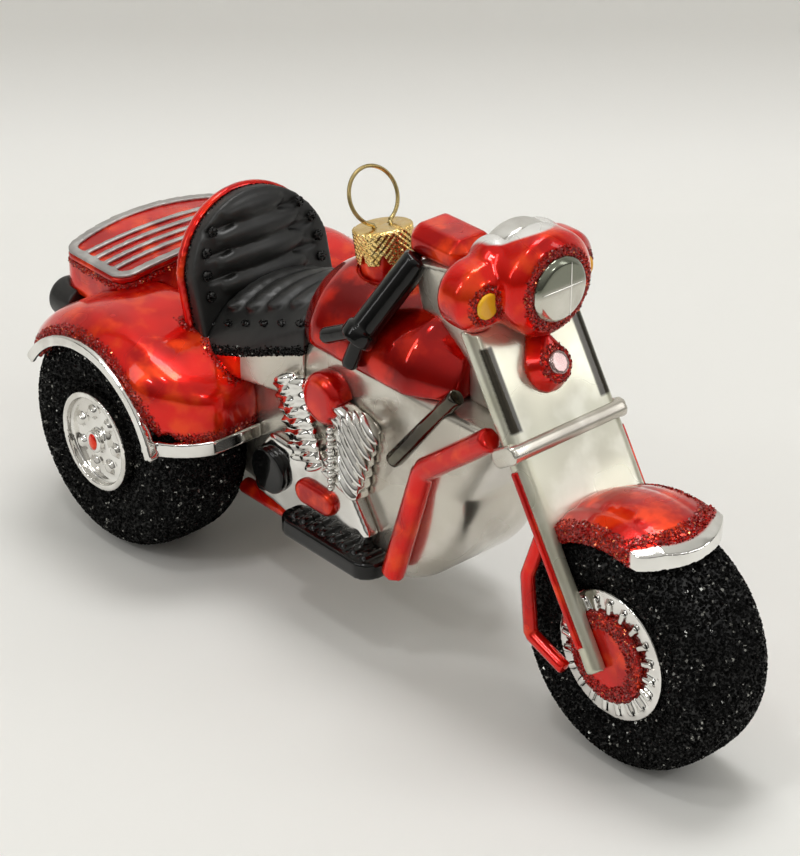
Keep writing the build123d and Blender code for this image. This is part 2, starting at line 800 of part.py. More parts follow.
# Cap: a metal cup over the neck's rim, its skirt cut into pointed petals
cap_inner = neck_radius + cap_gap
cap_outer = cap_inner + cap_wall
cap_top = neck_length + cap_wall
cap_skirt = neck_axis.offset(cap_top - cap_height)
with BuildPart() as hanger_cap:
    with BuildSketch(cap_skirt):
        Circle(cap_outer)
    extrude(amount=cap_height)
    chamfer(hanger_cap.edges().sort_by(Axis(neck_axis.origin, neck_axis.z_dir))[-1], cap_wall)
    with BuildSketch(cap_skirt):
        Circle(cap_inner)
    extrude(amount=cap_height - cap_wall, mode=Mode.SUBTRACT)
    half_notch = petal_share * pi * cap_outer / petal_count / 2
    for petal in range(petal_count // 2):
        outward = neck_axis.x_dir.rotate(Axis((0, 0, 0), neck_axis.z_dir), 360 * petal / petal_count)
        with BuildSketch(Plane(origin=cap_skirt.origin, x_dir=neck_axis.z_dir, z_dir=outward)):
            with BuildLine():
                Polyline((-cap_wall, -half_notch), (0, -half_notch), (petal_depth, 0), (0, half_notch),
                         (-cap_wall, half_notch), close=True)
            make_face()
        extrude(amount=2 * cap_outer, both=True, mode=Mode.SUBTRACT)
    with BuildSketch(neck_axis.offset(neck_length)):
        with Locations((0, wire_spread), (0, -wire_spread)):
            Circle(wire_radius + wire_hole_gap)
    extrude(amount=2 * cap_wall, mode=Mode.SUBTRACT)
finish(hanger_cap, "hanger_cap")

# Wire: a round loop whose two spring legs go down through the cap into the neck
loop_tilt = radians(neck_lean + loop_lean)
loop_foot = cap_top + wire_radius + wire_hole_gap / 2
loop_plane = Plane(
    origin=neck_axis.offset(loop_foot).origin, x_dir=(0, 1, 0), z_dir=(cos(loop_tilt), 0, sin(loop_tilt))
)
loop_rise = (loop_radius**2 - wire_spread**2) ** 0.5
foot_y = neck_radius - neck_wall - wire_radius - wire_foot_gap
with BuildPart() as hanger_wire:
    with BuildLine(loop_plane) as loop:
        ThreePointArc((-wire_spread, 0), (0, loop_rise + loop_radius), (wire_spread, 0))
    with BuildSketch(Plane(origin=loop.line @ 0, z_dir=loop.line % 0)):
        RegularPolygon(wire_radius, wire_sides)
    sweep()
    for side in (-1, 1):
        foot = neck_axis.from_local_coords((0, side * foot_y, wire_foot_height))
        run = neck_axis.from_local_coords((0, side * wire_spread, loop_foot)) - foot
        with BuildSketch(Plane(origin=foot, z_dir=run)):
            Circle(wire_radius)
        extrude(amount=run.length)
finish(hanger_wire, "hanger_wire")

# Steering head between tank, lamps and fork, with the console on top
with BuildPart() as steering_head:
    side_slab([
        (fork_top_station - head_foot, tank_seat),
        (fork_top_station - head_back, fork_top_height + head_low),
        (fork_top_station - head_peak, fork_top_height + head_crown),
        (fork_top_station - groove_depth, fork_top_height),
        (fork_station(tank_seat) - fork_thickness, tank_seat),
    ], head_half_width)
    trim("fuel_tank", "fork", "fork_clamp", "lower_lamp", "lamp_nacelle", "headlamp_dome", "glass_body")
finish(steering_head, "steering_head")
with BuildPart() as console:
    with Locations(spot(fork_top_station - console_setback, 0, fork_top_height + console_rise)):
        Box(*console_size)
    chamfer(console.edges(), console_bevel)
    trim("steering_head", "headlamp_dome", "fuel_tank")
finish(console, "console")


def round_tank(station, angle, out):
    """A place beside the tank on the right, from the angle up its flank and the distance off its skin."""
    reach = tank_radius + out
    return (station, -reach * cos(radians(angle)), tank_seat + reach * sin(radians(angle)))


# Handlebars lying down the tank's sides, each with a knob and two levers
bar_inner = (fork_top_station - bar_setback, -bar_inner_y, fork_top_height + bar_rise)
bar_outer = round_tank(bar_station, bar_angle, bar_radius - fit_gap)
with BuildPart() as handlebar:
    rod(bar_inner, bar_outer, bar_radius)
    for ahead, angle in lever_tips:
        rod(bar_outer, round_tank(bar_station + ahead, angle, lever_radius - fit_gap), lever_radius)
    knob = (Vector(*bar_outer) - Vector(*bar_inner)).normalized() * knob_length
    rod(bar_outer, tuple(Vector(*bar_outer) + knob), knob_radius)
    trim("fuel_tank", "steering_head", "console")
finish_pair(handlebar, "handlebar")

# Seat cushion: a round crest that rises from the crease to the tank, narrowed towards the tank
seat_carriers = ("glass_body", "rear_fender_right", "rear_fender_left", "rear_tyre_right", "rear_tyre_left")
crest = Vector(cushion_front - cushion_rear, 0, cushion_front_height - cushion_rear_height)
crest_plane = Plane(origin=spot(cushion_rear, 0, cushion_rear_height), x_dir=(0, 1, 0), z_dir=crest)
with BuildPart() as seat_cushion:
    with BuildSketch(crest_plane):
        with Locations((0, -cushion_crown)):
            Circle(cushion_crown)
    extrude(amount=crest.length, both=True)
    plan_cut([
        (cushion_rear, cushion_half_width), (cushion_waist, cushion_half_width),
        (cushion_front, cushion_nose_half_width), (cushion_front, -cushion_nose_half_width),
        (cushion_waist, -cushion_half_width), (cushion_rear, -cushion_half_width),
    ], cushion_low, cushion_front_height + cushion_crown)
    trim("fuel_tank", *seat_carriers)
finish(seat_cushion, "seat_cushion")

# Seat back with pressed pleats, and the shell behind it
back_plane = Plane(
    origin=spot(crease_station, 0, crease_height), x_dir=(0, 1, 0),
    z_dir=(cos(radians(back_lean)), 0, sin(radians(back_lean))),
)


def back_outline(grow):
    """The seat back's outline seen from the front: straight sides under a round top."""
    half, top = back_half_width + grow, back_height + grow
    with BuildSketch(back_plane) as outline:
        with BuildLine():
            ThreePointArc((half, back_shoulder), (0, top), (-half, back_shoulder))
            Polyline(
                (-half, back_shoulder), (-half, -back_foot), (half, -back_foot), (half, back_shoulder),
            )
        make_face()
    return outline.sketch


with BuildPart() as seat_back:
    extrude(back_outline(0), amount=-back_thickness)
    for pleat in back_pleats:
        with BuildSketch(back_plane):
            with Locations((0, pleat)):
                SlotOverall(2 * (back_half_width - back_thickness), pleat_width)
        extrude(amount=-pleat_depth, mode=Mode.SUBTRACT)
    trim("seat_cushion", *seat_carriers)
finish(seat_back, "seat_back")
with BuildPart() as seat_shell:
    extrude(back_outline(shell_rim), amount=-back_thickness - shell_thickness)
    extrude(back_outline(shell_rim), amount=-back_thickness, mode=Mode.SUBTRACT)
    trim("seat_cushion", "trunk_box", "trunk_lid", "lid_ribs", *seat_carriers)
finish(seat_shell, "seat_shell")

# Engine: a crankcase and two finned cylinders that stand out of the body on both sides
with BuildPart() as crankcase:
    side_slab(crankcase_outline, cover_reach)
    trim("glass_body", "fender_lips", "rear_fender_right", "rear_fender_left")
finish(crankcase, "crankcase")


def finned_cylinder(base, top, width, fins):
    """A cylinder block across the trike with cooling fins along its slanted axis."""
    run = Vector(top[0] - base[0], 0, top[1] - base[1])
    plane = Plane(origin=spot(base[0], 0, base[1]), x_dir=run, z_dir=(0, -1, 0))
    with BuildSketch(plane) as block:
        with Locations((run.length / 2, 0)):
            Rectangle(run.length, width)
    extrude(block.sketch, amount=cylinder_reach, both=True)
    with BuildSketch(plane) as fin_rows:
        with Locations(*[((fin + 0.5) * run.length / fins, 0) for fin in range(fins)]):
            Rectangle(fin_thickness, width + 2 * fin_proud)
    extrude(fin_rows.sketch, amount=cylinder_reach + fin_proud, both=True)


with BuildPart() as rear_cylinder:
    finned_cylinder(*rear_cylinder_place)
    trim("glass_body", "crankcase", "seat_cushion", "fuel_tank")
finish(rear_cylinder, "rear_cylinder")
with BuildPart() as front_cylinder:
    finned_cylinder(*front_cylinder_place)
    trim("glass_body", "crankcase", "fuel_tank", "rear_cylinder")
finish(front_cylinder, "front_cylinder")
with BuildPart() as air_cleaner:
    with BuildSketch(side_plane(air_cleaner_place[0], belly_half_width - seat_in, air_cleaner_place[1])):
        Circle(air_cleaner_radius)
    extrude(amount=air_cleaner_reach - belly_half_width + seat_in)
    chamfer(air_cleaner.edges().group_by(Axis.Y)[0], air_cleaner_bevel)
    trim("glass_body", "rear_cylinder", "front_cylinder", "fuel_tank")
finish(air_cleaner, "air_cleaner")
with BuildPart() as clutch_covers:
    with BuildSketch(side_plane(clutch_cover_place[0], cover_reach, clutch_cover_place[1])):
        Circle(clutch_cover_radius)
    extrude(amount=cover_proud)
    mirror(about=Plane.XZ)
finish(clutch_covers, "clutch_covers")
with BuildPart() as cam_covers:
    with BuildSketch(side_plane(cam_cover_place[0], cover_reach, cam_cover_place[1])):
        SlotOverall(*cam_cover_size)
    extrude(amount=cover_proud, taper=cover_taper)
    mirror(about=Plane.XZ)
finish(cam_covers, "cam_covers")

# Footboards with raised treads
footboard_middle = (footboard_rear + footboard_front) / 2
footboard_inner = belly_half_width - seat_in
footboard_width = footboard_out - footboard_inner
footboard_y = -(footboard_out + footboard_inner) / 2
with BuildPart() as footboard:
    with BuildSketch(Plane(origin=spot(footboard_middle, footboard_y, footboard_low))):
        RectangleRounded(footboard_front - footboard_rear, footboard_width, footboard_round)
    extrude(amount=footboard_top - footboard_low)
    with BuildSketch(Plane(origin=spot(footboard_middle, footboard_y, footboard_top))):
        with GridLocations((footboard_front - footboard_rear) / (tread_count + 1), 1, tread_count, 1):
            Rectangle(tread_width, footboard_width - footboard_round)
    extrude(amount=tread_proud)
    trim("glass_body", "crankcase", "cam_covers", "clutch_covers")
finish_pair(footboard, "footboard")

# Frame tubes along the belly's sides
with BuildPart() as crash_bar:
    crash_bar_top = (fork_station(tank_seat) - crash_bar_setback, tank_seat)
    bends = zip((crash_bar_top, crash_bar_knee, crash_bar_foot), crash_bar_stand)
    crash_route = [(station, -belly_half_width - out, height) for (station, height), out in bends]
    bent_rod(crash_route, crash_bar_radius)
    trim("glass_body", "fork", "fork_clamp", "footboard_right", "steering_head")
finish_both(crash_bar, "crash_bars")
with BuildPart() as downtube:
    rod(*downtube_route, tube_radius)
    trim("glass_body", "fuel_tank", "fork", "steering_head", "crash_bars", "front_cylinder")
finish_both(downtube, "downtubes")
with BuildPart() as lower_rail:
    rod(*lower_rail_route, rail_radius)
    trim("glass_body", "rear_tyre_right", "footboard_right", "crankcase", "fender_lips")
finish_both(lower_rail, "lower_rails")
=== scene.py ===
"""Looks of a blown-glass motor trike ornament.

Silvered glass with red lacquer and glitter, hung by a foil cap and a wire loop.
"""

import math

import bmesh
import bpy
from mathutils import Matrix, Vector, noise
from mathutils.bvhtree import BVHTree


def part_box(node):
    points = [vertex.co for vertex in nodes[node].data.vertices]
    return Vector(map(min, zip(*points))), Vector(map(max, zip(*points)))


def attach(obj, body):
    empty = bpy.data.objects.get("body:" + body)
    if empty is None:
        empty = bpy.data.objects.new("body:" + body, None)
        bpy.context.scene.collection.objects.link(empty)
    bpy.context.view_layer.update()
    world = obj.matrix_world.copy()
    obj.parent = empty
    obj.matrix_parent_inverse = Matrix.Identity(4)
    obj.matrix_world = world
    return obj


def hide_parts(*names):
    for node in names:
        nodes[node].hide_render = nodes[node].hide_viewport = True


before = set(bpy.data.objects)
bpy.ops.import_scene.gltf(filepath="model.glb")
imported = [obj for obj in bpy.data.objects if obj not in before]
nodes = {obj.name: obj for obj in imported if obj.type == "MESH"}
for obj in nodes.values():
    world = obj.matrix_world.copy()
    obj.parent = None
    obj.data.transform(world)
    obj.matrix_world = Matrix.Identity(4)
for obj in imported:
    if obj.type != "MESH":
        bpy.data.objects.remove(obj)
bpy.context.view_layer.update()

MM = 0.001
MERGE_DISTANCE = 0.001 * MM
ORDER_DIGITS = 6
TRIKE, HANGER = "trike", "hanger"


def axle_of(tyre_node):
    """The middle of a tyre's axle, on the trike's middle plane."""
    low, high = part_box(tyre_node)
    return Vector(((low.x + high.x) / 2, 0.0, (low.z + high.z) / 2))


REAR_AXLE = axle_of("rear_tyre_right")
FRONT_AXLE = axle_of("front_tyre")


def place(station, y, height):
    """A place from its station ahead of the rear axle, its side distance and its height, in mm."""
    return Vector((REAR_AXLE.x + station * MM, y * MM, height * MM))


def station_of(point):
    """Station, side distance and height of a place, in mm."""
    return (point.x - REAR_AXLE.x) / MM, point.y / MM, point.z / MM


def both_sides(point):
    """A place's mirror image on the trike's other side, and then the place itself."""
    return Vector((point.x, -point.y, point.z)), point


def along(start, end, count):
    """Evenly spaced places from a start to an end, each after its mirror image."""
    for number in range(count):
        yield from both_sides(start.lerp(end, number / (count - 1)))


def band(value, low, high, fade):
    """1 between two values, falling to 0 over a fade at each end."""
    return max(0.0, min(1.0, (value - low) / fade + 0.5, (high - value) / fade + 0.5))


# Shader node groups that several finishes share
def new_group(name, inputs, outputs):
    """An empty shader node group with named number inputs and typed outputs."""
    group = bpy.data.node_groups.new(name, "ShaderNodeTree")
    for title, value in inputs:
        socket = group.interface.new_socket(title, in_out="INPUT", socket_type="NodeSocketFloat")
        socket.default_value = value
    for title, kind in outputs:
        group.interface.new_socket(title, in_out="OUTPUT", socket_type=kind)
    return group, group.nodes.new("NodeGroupInput"), group.nodes.new("NodeGroupOutput")


def feed(tree, socket, value):
    """Set a socket to a number, or link another socket to it."""
    if isinstance(value, (int, float)):
        socket.default_value = value
    else:
        tree.links.new(value, socket)


def math_node(tree, operation, first, second):
    """A math node fed by sockets or numbers; returns its result."""
    node = tree.nodes.new("ShaderNodeMath")
    node.operation = operation
    feed(tree, node.inputs[0], first)
    feed(tree, node.inputs[1], second)
    return node.outputs[0]


def range_node(tree, value, low, high, new_low=0.0, new_high=1.0):
    """A smooth step from one range of values to another; returns its result."""
    node = tree.nodes.new("ShaderNodeMapRange")
    node.interpolation_type = "SMOOTHSTEP"
    limits = {"From Min": low, "From Max": high, "To Min": new_low, "To Max": new_high}
    for title, number in limits.items():
        node.inputs[title].default_value = number
    tree.links.new(value, node.inputs["Value"])
    return node.outputs[0]


def noise_node(tree, vector, scale, detail):
    """A noise texture on given coordinates; returns its value."""
    node = tree.nodes.new("ShaderNodeTexNoise")
    node.inputs["Detail"].default_value = detail
    tree.links.new(vector, node.inputs["Vector"])
    feed(tree, node.inputs["Scale"], scale)
    return node.outputs["Fac"]


def mix_node(tree, factor, first, second):
    """A colour mix between two colours or sockets; returns its result."""
    node = tree.nodes.new("ShaderNodeMix")
    node.data_type = "RGBA"
    tree.links.new(factor, node.inputs["Factor"])
    for socket, value in ((node.inputs[6], first), (node.inputs[7], second)):
        if isinstance(value, tuple):
            socket.default_value = (*value, 1.0)
        else:
            tree.links.new(value, socket)
    return node.outputs[2]


# Where the noise turns from clear to patch and to cloud, and how much finer the clouds are
PATCH_STEP, CLOUD_STEP, CLOUD_FINENESS = (0.38, 0.64), (0.45, 0.7), 2.7


def ripple_group():
    """The uneven skin of blown glass: a waved normal, broad patches and small clouds from 0 to 1."""
    group, given, out = new_group(
        "blown_glass_ripple",
        [("Waves per metre", 120.0), ("Wave height", 0.0004), ("Patches per metre", 70.0)],
        [
            ("Normal", "NodeSocketVector"),
            ("Patches", "NodeSocketFloat"),
            ("Clouds", "NodeSocketFloat"),
        ],
    )
    link = group.links.new
    where = group.nodes.new("ShaderNodeTexCoord").outputs["Object"]
    waves = noise_node(group, where, given.outputs["Waves per metre"], detail=1.0)
    bump = group.nodes.new("ShaderNodeBump")
    bump.inputs["Strength"].default_value = 1.0
    link(given.outputs["Wave height"], bump.inputs["Distance"])
    link(waves, bump.inputs["Height"])
    link(bump.outputs["Normal"], out.inputs["Normal"])
    patches = noise_node(group, where, given.outputs["Patches per metre"], detail=2.0)
    link(range_node(group, patches, *PATCH_STEP), out.inputs["Patches"])
    finer = math_node(group, "MULTIPLY", given.outputs["Patches per metre"], CLOUD_FINENESS)
    clouds = noise_node(group, where, finer, detail=3.0)
    link(range_node(group, clouds, *CLOUD_STEP), out.inputs["Clouds"])
    return group


RIPPLE = ripple_group()


# Materials
def plain_material(name, values):
    """A material with one principled shader whose sockets have fixed values."""
    made = bpy.data.materials.new(name)
    made.use_nodes = True
    for title, value in values.items():
        made.node_tree.nodes["Principled BSDF"].inputs[title].default_value = value
    return made


def rippled_material(
    name, tones, values, roughness, waves=120.0, wave_height=0.0004, patches=70.0, over=None,
):
    """A finish on blown glass that drifts between a clear, a cloudy and a third tone.

    A second paint, where there is one, covers it as far as the piece's mask says.
    """
    made = plain_material(name, values)
    tree = made.node_tree
    shader = tree.nodes["Principled BSDF"]
    ripple = tree.nodes.new("ShaderNodeGroup")
    ripple.node_tree = RIPPLE
    ripple.inputs["Waves per metre"].default_value = waves
    ripple.inputs["Wave height"].default_value = wave_height
    ripple.inputs["Patches per metre"].default_value = patches
    tree.links.new(ripple.outputs["Normal"], shader.inputs["Normal"])
    clear, cloudy, third = tones
    broad = mix_node(tree, ripple.outputs["Patches"], clear, cloudy)
    colour = mix_node(tree, ripple.outputs["Clouds"], broad, third)
    if over:
        mask = tree.nodes.new("ShaderNodeAttribute")
        mask.attribute_name = "over_paint"
        colour = mix_node(tree, mask.outputs["Fac"], colour, over)
    tree.links.new(colour, shader.inputs["Base Color"])
    dulled = range_node(tree, ripple.outputs["Patches"], 0.0, 1.0, *roughness)
    tree.links.new(dulled, shader.inputs["Roughness"])
    return made


BRIGHT_TONE = 0.97


def flake_material(name, dull, lit, bright, values):
    """Glitter flakes: each has its own tone, and the few with the highest are bright mirrors."""
    made = plain_material(name, values)
    tree = made.node_tree
    tone = tree.nodes.new("ShaderNodeAttribute")
    tone.attribute_name = "flake_tone"
    drift = mix_node(tree, tone.outputs["Fac"], dull, lit)
    few = math_node(tree, "GREATER_THAN", tone.outputs["Fac"], BRIGHT_TONE)
    shader = tree.nodes["Principled BSDF"]
    tree.links.new(mix_node(tree, few, drift, bright), shader.inputs["Base Color"])
    tree.links.new(few, shader.inputs["Metallic"])
    return made


COAT = {
    "Coat Weight": 1.0, "Coat Roughness": 0.03, "Coat IOR": 1.33, "Specular IOR Level": 0.1,
}
SILVER = rippled_material(
    "mirror_silver", ((0.84, 0.83, 0.80), (0.70, 0.68, 0.64), (0.88, 0.87, 0.84)),
    {"Metallic": 1.0}, roughness=(0.05, 0.16), wave_height=0.0006, over=(0.62, 0.010, 0.005),
)
PEARL = rippled_material(
    "pearl_silver", ((0.64, 0.605, 0.53), (0.50, 0.465, 0.40), (0.72, 0.69, 0.62)),
    {"Metallic": 0.85, **COAT}, roughness=(0.22, 0.36), waves=70.0, patches=45.0,
)
# Its second paint is painted shade: the near-black slots along the upper fork legs
CREAM = rippled_material(
    "cream_pearl", ((0.62, 0.61, 0.485), (0.53, 0.52, 0.415), (0.70, 0.695, 0.59)),
    {"Metallic": 0.6, **COAT}, roughness=(0.24, 0.36), waves=70.0, patches=45.0,
    over=(0.035, 0.03, 0.02),
)
RED = rippled_material(
    "red_lacquer", ((0.82, 0.010, 0.004), (0.46, 0.003, 0.002), (0.95, 0.06, 0.008)),
    {"Metallic": 0.55, **COAT}, roughness=(0.16, 0.30), over=(0.80, 0.79, 0.76),
)
DEEP_RED = rippled_material(
    "deep_red_lacquer", ((0.46, 0.004, 0.002), (0.20, 0.0015, 0.001), (0.70, 0.02, 0.005)),
    {"Metallic": 0.6, **COAT}, roughness=(0.08, 0.2),
)
GREY_PAINT = rippled_material(
    "silver_grey_paint", ((0.46, 0.44, 0.42), (0.36, 0.34, 0.33), (0.54, 0.53, 0.51)),
    {"Metallic": 0.7}, roughness=(0.34, 0.46),
)
# Its second paint is painted shade for the upper part of the headlamp lens
LENS_MIRROR = rippled_material(
    "lens_mirror", ((0.66, 0.64, 0.56), (0.56, 0.54, 0.48), (0.72, 0.70, 0.63)),
    {"Metallic": 0.8, **COAT}, roughness=(0.12, 0.2), over=(0.20, 0.21, 0.16),
)
ROSE_MIRROR = rippled_material(
    "rose_mirror", ((0.40, 0.27, 0.26), (0.32, 0.20, 0.19), (0.52, 0.40, 0.38)),
    {"Metallic": 0.8, **COAT}, roughness=(0.2, 0.3),
)
# Painted shade: a dim mirror whose low tone stands in for the shade in the recessed slits of the
# downtubes
SLIT_SHADE_MIRROR = rippled_material(
    "slit_shade_mirror", ((0.10, 0.09, 0.07), (0.05, 0.045, 0.04), (0.16, 0.15, 0.12)),
    {"Metallic": 1.0}, roughness=(0.05, 0.12),
)
SATIN_BLACK = rippled_material(
    "satin_black", ((0.014, 0.014, 0.013), (0.010, 0.010, 0.010), (0.018, 0.018, 0.017)),
    {"Specular IOR Level": 0.45}, roughness=(0.36, 0.46), waves=300.0, wave_height=0.0001,
)
GLOSS_BLACK = rippled_material(
    "gloss_black", ((0.003, 0.003, 0.003), (0.005, 0.005, 0.005), (0.002, 0.002, 0.002)),
    {**COAT}, roughness=(0.10, 0.20),
)
YELLOW = rippled_material(
    "signal_yellow", ((0.95, 0.50, 0.02), (0.90, 0.42, 0.015), (0.97, 0.58, 0.05)),
    {**COAT}, roughness=(0.25, 0.35),
)
GOLD = rippled_material(
    "gold_foil", ((0.95, 0.66, 0.24), (0.86, 0.58, 0.19), (0.97, 0.74, 0.33)),
    {"Metallic": 1.0}, roughness=(0.16, 0.26), waves=900.0, wave_height=0.0001, patches=300.0,
)
BRASS = rippled_material(
    "brass_wire", ((0.42, 0.32, 0.13), (0.34, 0.26, 0.11), (0.5, 0.4, 0.18)),
    {"Metallic": 1.0}, roughness=(0.2, 0.3),
)
TYRE_GLUE = rippled_material(
    "tyre_glue", ((0.003, 0.003, 0.003), (0.005, 0.005, 0.005), (0.002, 0.002, 0.002)),
    {}, roughness=(0.5, 0.7),
)
BLACK_FLAKES = flake_material(
    "black_flakes", (0.001, 0.001, 0.001), (0.004, 0.004, 0.004), (0.30, 0.30, 0.28),
    {"Roughness": 0.26, "Specular IOR Level": 0.06},
)
RED_FLAKES = flake_material(
    "red_flakes", (0.10, 0.002, 0.001), (0.50, 0.012, 0.006), (0.95, 0.30, 0.12),
    {"Roughness": 0.25},
)

# Slots of the part's materials
LACQUER, GLASS, GLITTER = "red_lacquer", "silvered_glass", "black_glitter"
SATIN, GLOSS, SIGNAL = "satin_black", "gloss_black", "yellow_paint"
CAP_FOIL, LOOP_WIRE = "gold_cap", "brass_wire"


# Mesh helpers
def new_object(name, data):
    """A new object in the scene for a mesh, a lamp or a camera."""
    piece = bpy.data.objects.new(name, data)
    bpy.context.scene.collection.objects.link(piece)
    return piece


def mesh_object(name, shape):
    """A new object from a bmesh, which is freed; its place is in its vertices."""
    mesh = bpy.data.meshes.new(name)
    shape.to_mesh(mesh)
    shape.free()
    return new_object(name, mesh)


def apply_modifiers(piece):
    """Put a piece's modified mesh in place of its own."""
    graph = bpy.context.evaluated_depsgraph_get()
    mesh = bpy.data.meshes.new_from_object(piece.evaluated_get(graph))
    piece.modifiers.clear()
    piece.data = mesh


def cad_shape(*names):
    """A merged copy of some nodes' meshes."""
    shape = bmesh.new()
    for name in names:
        shape.from_mesh(nodes[name].data)
    bmesh.ops.remove_doubles(shape, verts=shape.verts, dist=MERGE_DISTANCE)
    return shape


def whole(shape):
    """All vertices, edges and faces of a bmesh."""
    return [*shape.verts, *shape.edges, *shape.faces]


def only(kind, items):
    """The items of one bmesh kind."""
    return [item for item in items if isinstance(item, kind)]


def in_order(shape):
    """A copy of a bmesh, which is freed, with its corners and faces in the order of their places.

    The operators give another order each run, and glitter falls by that order.
    """
    corners = sorted(shape.verts, key=lambda vert: [round(part, ORDER_DIGITS) for part in vert.co])
    rank = {vert: number for number, vert in enumerate(corners)}
    rings = []
    for face in shape.faces:
        ring = [rank[vert] for vert in face.verts]
        first = ring.index(min(ring))
        rings.append(ring[first:] + ring[:first])
    ordered = bmesh.new()
    fresh = [ordered.verts.new(vert.co) for vert in corners]
    for ring in sorted(rings):
        ordered.faces.new([fresh[number] for number in ring])
    shape.free()
    return ordered


def add_ball(shape, middle, size, turn=Matrix.Identity(3), segments=24):
    """Add an ellipsoid to a bmesh, from its centre and its three half sizes in mm."""
    stretch = turn.to_4x4() @ Matrix.Diagonal((*[half * MM for half in size], 1.0))
    bmesh.ops.create_uvsphere(
        shape, u_segments=segments, v_segments=segments // 2, radius=1.0,
        matrix=Matrix.Translation(middle) @ stretch,
    )


def melt(name, shape, voxel, rounds, swell=0.0):
    """Soften a closed shape as blown glass is: cut it into voxels, swell it and smooth it."""
    piece = mesh_object(name, shape)
    cells = piece.modifiers.new("voxels", "REMESH")
    cells.mode = "VOXEL"
    cells.voxel_size = voxel * MM
    cells.use_smooth_shade = True
    if swell:
        grow = piece.modifiers.new("swell", "DISPLACE")
        grow.strength = swell * MM
        grow.mid_level = 0.0
    soften = piece.modifiers.new("soften", "SMOOTH")
    soften.factor = 0.5
    soften.iterations = rounds
    apply_modifiers(piece)
    return piece


def softened(node, voxel, rounds):
    """A bmesh of a node with its edges already melted away."""
    piece = melt(node + "_soft", cad_shape(node), voxel, rounds)
    shape = bmesh.new()
    shape.from_mesh(piece.data)
    bpy.data.objects.remove(piece)
    return shape


def cut_off(piece, name, spot, facing):
    """Cut a piece along a plane; what lies behind the plane becomes a new piece."""
    parts = []
    for behind in (False, True):
        shape = bmesh.new()
        shape.from_mesh(piece.data)
        bmesh.ops.bisect_plane(
            shape, geom=whole(shape), plane_co=spot, plane_no=facing,
            clear_inner=not behind, clear_outer=behind,
        )
        parts.append(shape)
    parts[0].to_mesh(piece.data)
    parts[0].free()
    return mesh_object(name, parts[1])


def dress(piece, paint, slot, *replaced, body=TRIKE):
    """Give a finished piece its paint and its body, and hide the nodes that it stands for; the slot
    is not used.
    """
    piece.data.materials.clear()
    piece.data.materials.append(paint)
    piece.data.shade_smooth()
    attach(piece, body)
    if replaced:
        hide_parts(*replaced)
    return piece


def paint_over(piece, where):
    """Mark where a piece's second paint lies, by a function of the place from 0 to 1."""
    mask = piece.data.attributes.new("over_paint", "FLOAT", "POINT")
    mask.data.foreach_set("value", [where(vertex.co) for vertex in piece.data.vertices])


moulded = {}


def mould(node, shape, voxel, rounds, paint, slot, swell=0.0, ending="_glass"):
    """Melt and dress a node's shape, and keep it under the node's name."""
    piece = melt(node + ending, shape, voxel, rounds, swell)
    moulded[node] = dress(piece, paint, slot, node)


# Glitter: flat flakes scattered over a surface by geometry nodes
FLAKE_TILT = 0.75
FLAKE_SCALES = (0.55, 1.15)
FLAKE_CORNERS = 4
TONE_SEED = 7


